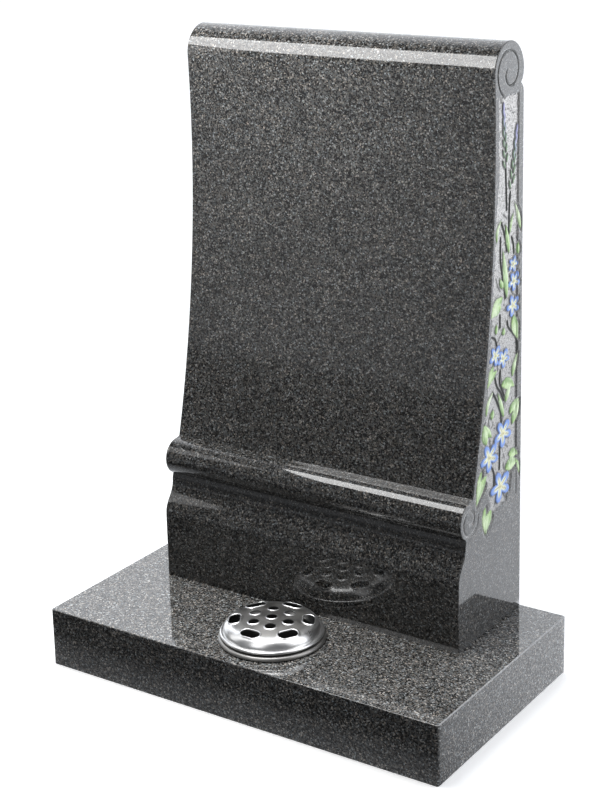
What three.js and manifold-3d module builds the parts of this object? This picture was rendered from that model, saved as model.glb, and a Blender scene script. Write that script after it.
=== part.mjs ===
// A lawn headstone: a scroll-shaped granite stone standing on a granite base, with a flower
// container let into the base. Millimetres, +Z up, front towards -Y, origin under the middle
// of the base.

import * as THREE from 'three';
import { mergeVertices } from 'three/addons/utils/BufferGeometryUtils.js';
import Module from 'manifold-3d';

// Base slab
const BASE_WIDTH = 610;
const BASE_DEPTH = 344;
const BASE_HEIGHT = 82;
const BASE_CORNER = 4;
const BASE_ARRIS = 1.2;

// Headstone seen from its end: depths run forward from its flat back, heights up from the base
const STONE_WIDTH = 472;
const STONE_HEIGHT = 772;
const STONE_SETBACK = 0;
const STONE_ARRIS = 1.2;
const FOOT_DEPTH = 170;
const FOOT_HEIGHT = 91;
const NECK_DEPTH = 152;
const NECK_HEIGHT = 141;
const BEAD_DEPTH = 165;
const BEAD_RADIUS = 25.6;
const BEAD_HEIGHT = 172;
const BEAD_LEDGE = 1.4;
const BEAD_UNDERCUT = THREE.MathUtils.degToRad(65);
const FACE_THINNEST = 76;
const FACE_RADIUS = 1800;
const ROLL_RADIUS = 39;
const TUCK_RADIUS = 24;
const TUCK_SWEEP = THREE.MathUtils.degToRad(45);
const LIP_RADIUS = 16;

// Scroll lines cut into both ends
const GROOVE_WIDTH = 2.2;
const GROOVE_DEPTH = 1.5;
const SCROLL_START = THREE.MathUtils.degToRad(-77);
const SCROLL_SWEEP = THREE.MathUtils.degToRad(460);
const SCROLL_OUTER = 0.84;
const SCROLL_INNER = 0.2;
const SCROLL_TIGHTENING = 1.5;
const BORDER_INSET = 14;
const BORDER_WIDTH = 3;
const BORDER_DEPTH = 3.6;

// Sunk and carved panel on the right end
const PANEL_HEAD = 703;
const PANEL_FOOT = 168;
const PANEL_SINK = 2.4;
const CARVING_DROP = 0.3;
const CARVING_ROUND = 1;
const CARVING_ROOT = 2.3;
const HALO = 2.4;
const CARVING_SPREAD = 1.25;

// Flower container and its lid
const CONTAINER_X = 5;
const CORE_RADIUS = 63.5;
const POT_RADIUS = 60;
const POT_WALL = 1.5;
const POT_DEPTH = 71;
const POT_BASE_ROUND = 8;
const FLANGE_RADIUS = 71.5;
const FLANGE_THICKNESS = 6.5;
const LID_RIM_RADIUS = 69;
const LID_WALL = 1.6;
const LID_RISE = 24;
const DOME_RADIUS = 330;
const SHOULDER_RADIUS = 13;
const SKIRT_CLEARANCE = 1;
const SKIRT_DROP = 7;
const HOLE_RADIUS = 7.2;
const HOLE_CIRCLE = 26.3;
const HOLE_COUNT = 6;
const SLOT_RADIUS = 7.2;
const SLOT_LENGTH = 26;
const SLOT_CIRCLE = 49;

// Fineness of the faceted surfaces
const CHORD_ERROR = 0.25;
const LATHE_SIDES = 32;
const HOLE_SIDES = 12;
const SCROLL_STEPS = 24;
const LEAF_STEPS = 4;
const HALO_STEPS = 3;
const PETAL_STEPS = 4;
const WELD = 1e-4;

// Colours of the finished surfaces
const GRANITE_DARK = 0x3c3e40;
const GRANITE_BASE = 0x4a4c4e;
const ALUMINIUM = 0xb9bcc0;

const wasm = await Module();
wasm.setup();

const stoneBack = BASE_DEPTH / 2 - STONE_SETBACK;
const stoneFront = stoneBack - FOOT_DEPTH;
const containerY = (stoneFront - BASE_DEPTH / 2) / 2;
const rollHeight = STONE_HEIGHT - ROLL_RADIUS;
const faceCentreDepth = FACE_THINNEST + FACE_RADIUS;
const faceCentreHeight = rollHeight
  - Math.sqrt((FACE_RADIUS + ROLL_RADIUS) ** 2 - (faceCentreDepth - ROLL_RADIUS) ** 2);

/** Depth of the hollow front face at a height, both measured on the stone. */
function faceDepth(height) {
  return faceCentreDepth - Math.sqrt(FACE_RADIUS ** 2 - (height - faceCentreHeight) ** 2);
}

/** Points of an arc from one angle to another, as many as the chord error asks for. */
function arc(centre, radius, from, to) {
  const steps = Math.ceil(Math.abs(to - from) / (2 * Math.acos(1 - CHORD_ERROR / radius)));
  return Array.from({ length: steps + 1 }, (_, i) => {
    const angle = from + (to - from) * i / steps;
    return new THREE.Vector2(centre.x + radius * Math.cos(angle), centre.y + radius * Math.sin(angle));
  });
}

/** A closed manifold-3d solid from a three.js geometry. */
function solid(geometry) {
  const bare = geometry.clone();
  bare.deleteAttribute('normal');
  bare.deleteAttribute('uv');
  const merged = mergeVertices(bare, WELD);
  return new wasm.Manifold(new wasm.Mesh({
    numProp: 3,
    vertProperties: Float32Array.from(merged.attributes.position.array),
    triVerts: Uint32Array.from(merged.index.array),
  }));
}

/** A three.js geometry from a manifold-3d solid. */
function geometryOf(body) {
  const mesh = body.getMesh();
  const geometry = new THREE.BufferGeometry();
  geometry.setAttribute('position', new THREE.BufferAttribute(mesh.vertProperties, 3));
  geometry.setIndex(new THREE.BufferAttribute(mesh.triVerts, 1));
  return geometry;
}

/** One solid from several. */
function fuse(bodies) {
  return bodies.reduce((sum, body) => sum.add(body));
}

/** Turns a shape's (depth, height, inward) into the part's frame, from the stone's right end. */
const fromRightEnd = new THREE.Matrix4()
  .makeBasis(new THREE.Vector3(0, -1, 0), new THREE.Vector3(0, 0, 1), new THREE.Vector3(-1, 0, 0))
  .setPosition(STONE_WIDTH / 2, stoneBack, BASE_HEIGHT);

/** A solid with an outline drawn on the stone's end, from one inward distance to another. */
function endSolid(points, near, far, round = 0) {
  const geometry = new THREE.ExtrudeGeometry(new THREE.Shape(points), {
    depth: far - near - 2 * round,
    bevelEnabled: round > 0,
    bevelThickness: round,
    bevelSize: round,
    bevelOffset: -round,
    bevelSegments: 1,
  });
  geometry.translate(0, 0, near + round);
  geometry.applyMatrix4(fromRightEnd);
  return solid(geometry);
}

/** The stone's end outline: foot, moulding, bead, hollow face, roll and back. */
function stoneOutline() {
  const beadCentre = new THREE.Vector2(BEAD_DEPTH - BEAD_RADIUS, BEAD_HEIGHT);
  const moulding = new THREE.CubicBezierCurve(
    new THREE.Vector2(FOOT_DEPTH, FOOT_HEIGHT),
    new THREE.Vector2(FOOT_DEPTH, (FOOT_HEIGHT + NECK_HEIGHT) / 2),
    new THREE.Vector2(NECK_DEPTH, (FOOT_HEIGHT + NECK_HEIGHT) / 2),
    new THREE.Vector2(NECK_DEPTH, NECK_HEIGHT),
  );
  const ledgeHeight = BEAD_HEIGHT + BEAD_RADIUS + BEAD_LEDGE;
  const faceCentre = new THREE.Vector2(faceCentreDepth, faceCentreHeight);
  const rollCentre = new THREE.Vector2(ROLL_RADIUS, rollHeight);
  const toFaceFoot = Math.atan2(ledgeHeight - faceCentreHeight, faceDepth(ledgeHeight) - faceCentreDepth);
  const toRoll = rollCentre.clone().sub(faceCentre).angle();
  const tuckCentre = new THREE.Vector2(TUCK_RADIUS, rollHeight);
  const tuck = arc(tuckCentre, TUCK_RADIUS, Math.PI, Math.PI + TUCK_SWEEP);
  const notch = tuck.at(-1);
  const lipAngle = Math.acos((LIP_RADIUS - notch.x) / LIP_RADIUS);
  const lipCentre = new THREE.Vector2(LIP_RADIUS, notch.y - LIP_RADIUS * Math.sin(lipAngle));
  return [
    new THREE.Vector2(0, 0),
    new THREE.Vector2(FOOT_DEPTH, 0),
    ...moulding.getPoints(8),
    ...arc(beadCentre, BEAD_RADIUS, -BEAD_UNDERCUT, Math.PI / 2),
    ...arc(faceCentre, FACE_RADIUS, toFaceFoot + 2 * Math.PI, toRoll),
    ...arc(rollCentre, ROLL_RADIUS, toRoll - Math.PI, Math.PI).slice(1),
    ...tuck.slice(1),
    ...arc(lipCentre, LIP_RADIUS, Math.PI - lipAngle, Math.PI).slice(1),
  ];
}

/** Outline of a line of even width along a run of points. */
function ribbon(points, width) {
  const left = [];
  const right = [];
  points.forEach((point, i) => {
    const before = points[Math.max(i - 1, 0)];
    const after = points[Math.min(i + 1, points.length - 1)];
    const across = after.clone().sub(before).normalize().rotateAround(new THREE.Vector2(), Math.PI / 2);
    left.push(point.clone().addScaledVector(across, width / 2));
    right.push(point.clone().addScaledVector(across, -width / 2));
  });
  return [...left, ...right.reverse()];
}

/** A scroll line that winds in around a centre, drawn on the stone's end. */
function scroll(centre, radius, start, sweep) {
  const points = Array.from({ length: SCROLL_STEPS + 1 }, (_, i) => {
    const share = i / SCROLL_STEPS;
    const reach = radius * (SCROLL_OUTER - (SCROLL_OUTER - SCROLL_INNER) * share ** SCROLL_TIGHTENING);
    const angle = start + sweep * share;
    return new THREE.Vector2(centre.x + reach * Math.cos(angle), centre.y + reach * Math.sin(angle));
  });
  return ribbon(points, GROOVE_WIDTH);
}

/** Cutters for the lines on one end; the far end has them at the stone's full width. */
function endLines(near, far, borderNear, borderFar) {
  const rollCentre = new THREE.Vector2(ROLL_RADIUS, rollHeight);
  const beadCentre = new THREE.Vector2(BEAD_DEPTH - BEAD_RADIUS, BEAD_HEIGHT);
  const border = [new THREE.Vector2(BORDER_INSET, PANEL_HEAD), new THREE.Vector2(BORDER_INSET, PANEL_FOOT)];
  return [
    endSolid(scroll(rollCentre, ROLL_RADIUS, SCROLL_START, SCROLL_SWEEP), near, far),
    endSolid(scroll(beadCentre, BEAD_RADIUS, -Math.PI, SCROLL_SWEEP), near, far),
    endSolid(ribbon(border, BORDER_WIDTH), borderNear, borderFar),
  ];
}

/**
 * A place in the carving's drawing: across from the border line to the face, and up from its foot.
 * The drawing is narrower than the panel, and carvedSolid spreads it over the stone's depth.
 */
function spot(across, up) {
  const height = PANEL_FOOT + up * (PANEL_HEAD - PANEL_FOOT);
  const depth = BORDER_INSET + across * (faceDepth(height) - BORDER_INSET);
  return new THREE.Vector2(depth / CARVING_SPREAD, height);
}

/** A solid with an outline of the carving's drawing, from one inward distance to another. */
function carvedSolid(points, near, far, round = 0) {
  return endSolid(points.map(({ x, y }) => new THREE.Vector2(x * CARVING_SPREAD, y)), near, far, round);
}

/** A length on the carving, from its share of the panel's height. */
function carved(share) {
  return share * (PANEL_HEAD - PANEL_FOOT);
}

// The carving's own drawing, in shares of the panel
const GROUND = [
  [0, 1], [0.81, 1], [0.79, 0.82], [0.87, 0.74], [0.89, 0.6], [0.87, 0.4], [0.86, 0.25], [0.78, 0.13],
  [0.62, 0.04], [0.5, -0.01], [0.2, 0], [0.1, 0.06], [0, 0.12],
];
const BLOOMS = [
  { at: [0.15, 0.591], radius: 0.021, turn: 0.7 },
  { at: [0.11, 0.548], radius: 0.026, turn: 1.04 },
  { at: [0.14, 0.488], radius: 0.028, turn: 1.22 },
  { at: [0.69, 0.385], radius: 0.027, turn: 0.9 },
  { at: [0.43, 0.368], radius: 0.026, turn: 0.93 },
  { at: [0.35, 0.177], radius: 0.037, turn: 1 },
  { at: [0.67, 0.136], radius: 0.038, turn: 1.08 },
  { at: [0.35, 0.043], radius: 0.042, turn: 1.21 },
];
const LEAVES = [
  { root: [0.82, 0.658], tip: [0.62, 0.714], width: 0.011, bend: -0.3 },
  { root: [0.32, 0.621], tip: [0.5, 0.7], width: 0.016, bend: 0.02 },
  { root: [0.3, 0.67], tip: [0.14, 0.72], width: 0.011, bend: -0.12 },
  { root: [-0.13, 0.668], tip: [0.14, 0.745], width: 0.014, bend: 0.1 },
  { root: [0.37, 0.513], tip: [0.58, 0.64], width: 0.021, bend: 0.03 },
  { root: [0.53, 0.522], tip: [0.92, 0.484], width: 0.03, bend: 0.1 },
  { root: [0.56, 0.499], tip: [0.93, 0.481], width: 0.026, bend: 0.14 },
  { root: [0.11, 0.464], tip: [-0.06, 0.395], width: 0.028, bend: 0.06 },
  { root: [0.12, 0.308], tip: [-0.05, 0.365], width: 0.017, bend: -0.05 },
  { root: [0.75, 0.362], tip: [0.88, 0.326], width: 0.018, bend: -0.08 },
  { root: [0.62, 0.346], tip: [0.89, 0.311], width: 0.02, bend: 0.18 },
  { root: [0.46, 0.302], tip: [0.04, 0.28], width: 0.03, bend: -0.22 },
  { root: [0.31, 0.252], tip: [0.16, 0.296], width: 0.018, bend: -0.03 },
  { root: [0.85, 0.243], tip: [0.67, 0.3], width: 0.013, bend: -0.24 },
  { root: [0.34, 0.215], tip: [0.56, 0.29], width: 0.015, bend: 0.04 },
  { root: [0.65, 0.185], tip: [0.89, 0.229], width: 0.019, bend: -0.07 },
  { root: [0.77, 0.172], tip: [0.9, 0.228], width: 0.025, bend: -0.06 },
  { root: [0.18, 0.215], tip: [-0.11, 0.243], width: 0.023, bend: -0.18 },
  { root: [0.1, 0.185], tip: [-0.1, 0.239], width: 0.026, bend: 0 },
  { root: [0.18, 0.114], tip: [-0.06, 0.098], width: 0.026, bend: -0.12 },
  { root: [0.25, 0.08], tip: [-0.06, 0.08], width: 0.034, bend: -0.15 },
  { root: [-0.02, 0.088], tip: [-0.08, 0.042], width: 0.011, bend: -0.13 },
  { root: [0.84, 0.115], tip: [0.91, 0.06], width: 0.016, bend: 0 },
  { root: [0.7, 0.095], tip: [0.88, 0.03], width: 0.027, bend: 0.16 },
  { root: [0.67, 0.017], tip: [0.62, -0.055], width: 0.018, bend: 0.1 },
  { root: [0.53, 0], tip: [0.61, -0.056], width: 0.028, bend: 0.08 },
];
const BUDS = [
  { root: [-0.04, 0.61], tip: [-0.04, 0.642], width: 0.015, bend: 0 },
  { root: [0.53, 0.542], tip: [0.66, 0.57], width: 0.016, bend: 0 },
  { root: [0.71, 0.436], tip: [0.7, 0.463], width: 0.013, bend: 0 },
  { root: [0.44, 0.424], tip: [0.45, 0.445], width: 0.015, bend: 0 },
  { root: [0.68, 0.228], tip: [0.66, 0.254], width: 0.017, bend: 0 },
];
const STEMS = [
  [[0.505, 0.84], [0.47, 0.79], [0.43, 0.73]],
  [[0.28, 0.77], [0.31, 0.75], [0.33, 0.69], [0.35, 0.63]],
  [[0.65, 0.705], [0.57, 0.688], [0.46, 0.66], [0.4, 0.63]],
  [[0.66, 0.668], [0.64, 0.615], [0.56, 0.58], [0.48, 0.55], [0.41, 0.515]],
  [[0.2, 0.658], [0.13, 0.639], [0.1, 0.617]],
  [[0.31, 0.455], [0.27, 0.439], [0.1, 0.417], [-0.01, 0.397], [-0.02, 0.36]],
  [[0.58, 0.479], [0.56, 0.448]],
  [[0.83, 0.434], [0.72, 0.426], [0.65, 0.409]],
  [[0.65, 0.33], [0.57, 0.304], [0.44, 0.282], [0.35, 0.26]],
  [[0.49, 0.34], [0.49, 0.31], [0.41, 0.289], [0.34, 0.27]],
  [[0.69, 0.295], [0.57, 0.271], [0.46, 0.244], [0.41, 0.225], [0.39, 0.204]],
  [[0.4, 0.148], [0.38, 0.088]],
  [[0.59, 0.108], [0.51, 0.086], [0.49, 0.055]],
];
const SPRIGS = [
  { root: [0.27, 0.775], tip: [0.05, 0.917], florets: 7 },
  { root: [0.5, 0.83], tip: [0.62, 0.978], florets: 7 },
];
const STEM_WIDTH = 0.005;
const FLORET_LENGTH = 0.024;
const FLORET_WIDTH = 0.008;
const FLORET_SPLAY = 0.5;
const PETALS = 5;
const PETAL_WAIST = 0.36;
const PETAL_POWER = 1.1;
const EYE_SHARE = 0.24;

/** A pointed leaf's outline around a bent middle line; grow widens it all round. */
function leafOutline({ root, tip, width, bend }, steps, grow) {
  const from = spot(...root);
  const to = spot(...tip);
  const along = to.clone().sub(from);
  const side = new THREE.Vector2(-along.y, along.x);
  const middle = from.clone().lerp(to, 0.5).addScaledVector(side, bend);
  const reach = along.clone().setLength(grow);
  const line = new THREE.QuadraticBezierCurve(from.sub(reach), middle, to.add(reach));
  const half = carved(width) / 2 + grow;
  const edge = (sign) => Array.from({ length: steps - 1 }, (_, i) => {
    const share = (i + 1) / steps;
    const tangent = line.getTangent(share);
    const out = half * Math.sin(Math.PI * share ** 0.8);
    return line.getPoint(share).add(new THREE.Vector2(-tangent.y, tangent.x).multiplyScalar(sign * out));
  });
  return [line.getPoint(0), ...edge(1), line.getPoint(1), ...edge(-1).reverse()];
}

/** A five-petalled bloom's outline. */
function bloomOutline({ at, radius, turn }) {
  const centre = spot(...at);
  const count = PETALS * PETAL_STEPS;
  return Array.from({ length: count }, (_, i) => {
    const angle = 2 * Math.PI * i / count;
    const swell = Math.abs(Math.cos(PETALS * angle / 2)) ** PETAL_POWER;
    const reach = carved(radius) * (PETAL_WAIST + (1 - PETAL_WAIST) * swell);
    return new THREE.Vector2(
      centre.x + reach * Math.cos(angle + turn),
      centre.y + reach * Math.sin(angle + turn),
    );
  });
}

/** A round outline in the middle of a bloom. */
function roundOutline({ at }, radius, sides) {
  return Array.from({ length: sides }, (_, i) => {
    const angle = 2 * Math.PI * i / sides;
    return spot(...at).add(new THREE.Vector2(radius * Math.cos(angle), radius * Math.sin(angle)));
  });
}

/** The florets of a sprig, as small leaves in two rows up its stalk. */
function floretsOf({ root, tip, florets }) {
  const from = spot(...root);
  const along = spot(...tip).sub(from);
  const unit = along.clone().normalize();
  return Array.from({ length: florets }, (_, i) => {
    const side = i % 2 ? 1 : -1;
    const start = from.clone().addScaledVector(along, i / florets);
    const heading = unit.clone().rotateAround(new THREE.Vector2(), side * FLORET_SPLAY * (1 - i / florets));
    return { start, heading };
  });
}

/** A floret's outline: a narrow lozenge that leaves the stalk. */
function floretOutline({ start, heading }) {
  const across = new THREE.Vector2(-heading.y, heading.x).multiplyScalar(carved(FLORET_WIDTH) / 2);
  const middle = start.clone().addScaledVector(heading, carved(FLORET_LENGTH) / 2);
  return [
    start,
    middle.clone().sub(across),
    start.clone().addScaledVector(heading, carved(FLORET_LENGTH)),
    middle.clone().add(across),
  ];
}

/** A stem's outline along a smooth run through its points. */
function stemOutline(places) {
  const curve = new THREE.SplineCurve(places.map((place) => spot(...place)));
  return ribbon(curve.getPoints(2 * (places.length - 1)), carved(STEM_WIDTH));
}

/** The whole carving on the right end: what is cut away, and what is left standing in it. */
function carving() {
  const floor = PANEL_SINK + CARVING_ROOT;
  const leaves = [...LEAVES, ...BUDS];
  const cut = [
    carvedSolid(GROUND.map((place) => spot(...place)), -CARVING_ROOT, PANEL_SINK),
    ...leaves.map((leaf) => carvedSolid(leafOutline(leaf, HALO_STEPS, HALO), -CARVING_ROOT, PANEL_SINK)),
    ...BLOOMS.map((bloom) => (
      carvedSolid(roundOutline(bloom, carved(bloom.radius) + HALO, 2 * PETALS), -CARVING_ROOT, PANEL_SINK)
    )),
  ];
  const stand = [
    ...leaves.map((leaf) => (
      carvedSolid(leafOutline(leaf, LEAF_STEPS, 0), CARVING_DROP, floor, CARVING_ROUND)
    )),
    ...BLOOMS.map((bloom) => carvedSolid(bloomOutline(bloom), CARVING_DROP, floor, CARVING_ROUND)),
    ...BLOOMS.map((bloom) => (
      carvedSolid(roundOutline(bloom, carved(bloom.radius) * EYE_SHARE, PETALS), 0, floor)
    )),
    ...SPRIGS.flatMap(floretsOf).map((floret) => carvedSolid(floretOutline(floret), CARVING_DROP, floor)),
    ...STEMS.map((places) => carvedSolid(stemOutline(places), CARVING_ROUND, floor)),
  ];
  return { cut: fuse(cut), stand: fuse(stand) };
}

/** The headstone: one stone, with its scroll lines on both ends and its carving on the right. */
function makeHeadstone() {
  const block = endSolid(stoneOutline(), 0, STONE_WIDTH, STONE_ARRIS);
  const { cut, stand } = carving();
  const lines = [
    ...endLines(-GROOVE_DEPTH, GROOVE_DEPTH, -GROOVE_DEPTH, BORDER_DEPTH),
    ...endLines(STONE_WIDTH - GROOVE_DEPTH, STONE_WIDTH + GROOVE_DEPTH, STONE_WIDTH - GROOVE_DEPTH,
      STONE_WIDTH + GROOVE_DEPTH),
  ];
  return geometryOf(block.subtract(fuse([cut, ...lines])).add(stand));
}

/** A solid of revolution about +Z from a closed (radius, height) outline. */
function turned(points) {
  const geometry = new THREE.LatheGeometry(points, LATHE_SIDES);
  geometry.rotateX(Math.PI / 2);
  return solid(geometry);
}

/** The base: a slab with rounded upright corners, small arrises and a cored hole. */
function makeBase() {
  const x = BASE_WIDTH / 2 - BASE_CORNER;
  const y = BASE_DEPTH / 2 - BASE_CORNER;
  const corners = [[x, y], [-x, y], [-x, -y], [x, -y]];
  const outline = corners.flatMap(([cx, cy], i) => (
    arc(new THREE.Vector2(cx, cy), BASE_CORNER, i * Math.PI / 2, (i + 1) * Math.PI / 2)
  ));
  const slab = new THREE.ExtrudeGeometry(new THREE.Shape(outline), {
    depth: BASE_HEIGHT - 2 * BASE_ARRIS,
    bevelThickness: BASE_ARRIS,
    bevelSize: BASE_ARRIS,
    bevelOffset: -BASE_ARRIS,
    bevelSegments: 1,
  });
  slab.translate(0, 0, BASE_ARRIS);
  const core = new THREE.CylinderGeometry(CORE_RADIUS, CORE_RADIUS, 2 * BASE_HEIGHT, LATHE_SIDES);
  core.rotateX(Math.PI / 2);
  core.translate(CONTAINER_X, containerY, BASE_HEIGHT / 2);
  return geometryOf(solid(slab).subtract(solid(core)));
}

/** The pot: a thin round vessel with a rolled flange; height 0 is the top of the base. */
function makeContainer() {
  const inner = POT_RADIUS - POT_WALL;
  const roll = FLANGE_THICKNESS / 2;
  const rounding = new THREE.Vector2(POT_RADIUS - POT_BASE_ROUND, POT_BASE_ROUND - POT_DEPTH);
  const flangeRoll = new THREE.Vector2(FLANGE_RADIUS - roll, roll);
  return turned([
    new THREE.Vector2(0, -POT_DEPTH),
    ...arc(rounding, POT_BASE_ROUND, -Math.PI / 2, 0),
    new THREE.Vector2(POT_RADIUS, 0),
    ...arc(flangeRoll, roll, -Math.PI / 2, Math.PI / 2),
    new THREE.Vector2(inner, FLANGE_THICKNESS),
    ...arc(rounding, POT_BASE_ROUND - POT_WALL, 0, -Math.PI / 2),
    new THREE.Vector2(0, POT_WALL - POT_DEPTH),
  ]);
}

/** The lid's outside and inside from axis to rim; height 0 is the top of the flange. */
function lidOutline() {
  const rimRoll = (LID_RIM_RADIUS - POT_RADIUS) / 4;
  const rimCentre = new THREE.Vector2(LID_RIM_RADIUS - rimRoll, 2 * rimRoll);
  const shoulder = new THREE.Vector2(LID_RIM_RADIUS - 2 * rimRoll - SHOULDER_RADIUS, 0);
  const tilt = Math.asin(shoulder.x / (DOME_RADIUS - SHOULDER_RADIUS));
  shoulder.y = LID_RISE - DOME_RADIUS + (DOME_RADIUS - SHOULDER_RADIUS) * Math.cos(tilt);
  const domeCentre = new THREE.Vector2(0, LID_RISE - DOME_RADIUS);
  const upright = Math.PI / 2;
  const skirt = POT_RADIUS - POT_WALL - SKIRT_CLEARANCE;
  return [
    ...arc(domeCentre, DOME_RADIUS - LID_WALL, upright, upright - tilt),
    ...arc(shoulder, SHOULDER_RADIUS - LID_WALL, upright - tilt, 0).slice(1),
    new THREE.Vector2(skirt - LID_WALL, rimRoll),
    new THREE.Vector2(skirt - LID_WALL, -SKIRT_DROP),
    new THREE.Vector2(skirt, -SKIRT_DROP),
    new THREE.Vector2(skirt, 0),
    new THREE.Vector2(POT_RADIUS, 0),
    ...arc(rimCentre, rimRoll, -upright, upright),
    new THREE.Vector2(shoulder.x + SHOULDER_RADIUS, rimCentre.y + rimRoll),
    ...arc(shoulder, SHOULDER_RADIUS, 0, upright - tilt),
    ...arc(domeCentre, DOME_RADIUS, upright - tilt, upright).slice(1),
  ];
}

/** An upright round cutter for the lid, its middle at a distance and angle. */
function holeCutter(distance, angle) {
  const geometry = new THREE.CylinderGeometry(HOLE_RADIUS, HOLE_RADIUS, 2 * LID_RISE, HOLE_SIDES);
  geometry.rotateX(Math.PI / 2);
  geometry.translate(distance, 0, LID_RISE);
  geometry.rotateZ(angle);
  return solid(geometry);
}

/** An upright cutter with a round-ended slot's outline, set across the lid's radius. */
function slotCutter(angle) {
  const reach = SLOT_LENGTH / 2 - SLOT_RADIUS;
  const outline = new THREE.Shape([
    ...arc(new THREE.Vector2(0, reach), SLOT_RADIUS, 0, Math.PI),
    ...arc(new THREE.Vector2(0, -reach), SLOT_RADIUS, Math.PI, 2 * Math.PI),
  ]);
  const geometry = new THREE.ExtrudeGeometry(outline, { depth: 2 * LID_RISE, bevelEnabled: false });
  geometry.translate(SLOT_CIRCLE, 0, 0);
  geometry.rotateZ(angle);
  return solid(geometry);
}

/** The lid: a spun dome with a ring of round holes, and slots between them at its shoulder. */
function makeLid() {
  const sector = 2 * Math.PI / HOLE_COUNT;
  const ring = Array.from({ length: HOLE_COUNT }, (_, i) => i * sector);
  const cutters = [
    holeCutter(0, 0),
    ...ring.map((angle) => holeCutter(HOLE_CIRCLE, angle)),
    ...ring.map((angle) => slotCutter(angle + sector / 2)),
  ];
  return geometryOf(turned(lidOutline()).subtract(fuse(cutters)));
}

/** A named mesh in its own finish. */
function piece(name, geometry, colour, roughness, metalness) {
  const material = new THREE.MeshStandardMaterial({ color: colour, roughness, metalness });
  const mesh = new THREE.Mesh(geometry, material);
  mesh.name = name;
  return mesh;
}

const memorial = new THREE.Group();
memorial.add(piece('base', makeBase(), GRANITE_BASE, 0.15, 0));
memorial.add(piece('headstone', makeHeadstone(), GRANITE_DARK, 0.12, 0));

const flowerSet = new THREE.Group();
flowerSet.position.set(CONTAINER_X, containerY, BASE_HEIGHT);
flowerSet.add(piece('flower_container', geometryOf(makeContainer()), ALUMINIUM, 0.35, 1));
const lid = piece('container_lid', makeLid(), ALUMINIUM, 0.25, 1);
lid.position.z = FLANGE_THICKNESS;
flowerSet.add(lid);
memorial.add(flowerSet);

export default memorial;
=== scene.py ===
"""Looks of a scroll-shaped granite headstone on its base, with a lidded flower container.

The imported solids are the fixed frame. Every piece here is a finer surface that stands for one
of them: the base slab, the headstone with its carved end, the flower pot and its pierced lid.
Shapes are drawn in millimetres and put into the part's frame in metres.
"""

import logging
import math
from dataclasses import dataclass
from enum import Enum

import bmesh
import bpy
import numpy as np
from mathutils import Matrix, Vector
from mathutils.geometry import delaunay_2d_cdt


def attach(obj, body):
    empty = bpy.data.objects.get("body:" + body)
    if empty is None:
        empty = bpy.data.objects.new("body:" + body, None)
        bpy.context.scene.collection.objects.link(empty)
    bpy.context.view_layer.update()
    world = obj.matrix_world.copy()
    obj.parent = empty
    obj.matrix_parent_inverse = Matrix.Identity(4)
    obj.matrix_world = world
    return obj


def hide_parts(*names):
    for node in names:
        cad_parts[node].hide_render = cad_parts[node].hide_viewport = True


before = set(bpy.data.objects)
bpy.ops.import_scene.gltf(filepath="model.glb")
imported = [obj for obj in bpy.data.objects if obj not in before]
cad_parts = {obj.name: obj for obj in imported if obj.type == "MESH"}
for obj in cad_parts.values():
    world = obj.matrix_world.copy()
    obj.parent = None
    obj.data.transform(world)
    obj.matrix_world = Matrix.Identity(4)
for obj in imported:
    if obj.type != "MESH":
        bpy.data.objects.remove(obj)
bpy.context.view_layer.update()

LOG = logging.getLogger("headstone")
MM = 0.001
WELD = 2e-6
ARRIS_STEPS = 5
Array = np.ndarray
Place = tuple[float, float]
Triple = tuple[float, float, float]
Stops = tuple[tuple[float, float], ...]


class Seed(Enum):
    """Seeds of the random patterns on the carving."""

    EDGE = 3
    PITS = 5
    HOLLOWS = 11
    STREAKS = 23


def smoothstep(value: Array, low: float, high: float) -> Array:
    """Eases from 0 at low to 1 at high, along 3s^2 - 2s^3 of the share s between them."""
    share = np.clip((value - low) / (high - low), 0.0, 1.0)
    return share * share * (3.0 - 2.0 * share)


def fade(value: Array, low: float, high: float) -> Array:
    """Eases from 1 at low to 0 at high."""
    return 1 - smoothstep(value, low, high)


def lattice_noise(x: Array, y: Array, cell: float, seed: Seed) -> Array:
    """Smooth noise from 0 to 1: random values on a square lattice, blended between its points.

    Args:
        x: First coordinate of each point.
        y: Second coordinate of each point.
        cell: Width of a lattice cell, in the points' unit.
        seed: Seed of the random values.

    Returns:
        One value for each point.
    """
    size = 256
    table = np.random.default_rng(seed.value).random((size, size))
    column, row = np.floor(x / cell).astype(int), np.floor(y / cell).astype(int)
    across = smoothstep(x / cell - column, 0.0, 1.0)
    up = smoothstep(y / cell - row, 0.0, 1.0)
    corner = [table[(column + i) % size, (row + j) % size] for j in (0, 1) for i in (0, 1)]
    low = corner[0] + (corner[1] - corner[0]) * across
    high = corner[2] + (corner[3] - corner[2]) * across
    return low + (high - low) * up


def blend(start: Array, end: Array, share: Array) -> Array:
    """Goes straight from start to end, as start + (end - start) * share."""
    return start + (end - start) * share


class Piece(Enum):
    """Finished pieces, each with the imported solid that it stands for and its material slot."""

    BASE = ("granite_base_slab", "base", "granite_base")
    STONE = ("scroll_headstone", "headstone", "granite_stone")
    POT = ("flower_pot", "flower_container", "container_metal")
    LID = ("pierced_lid", "container_lid", "lid_metal")


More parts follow.
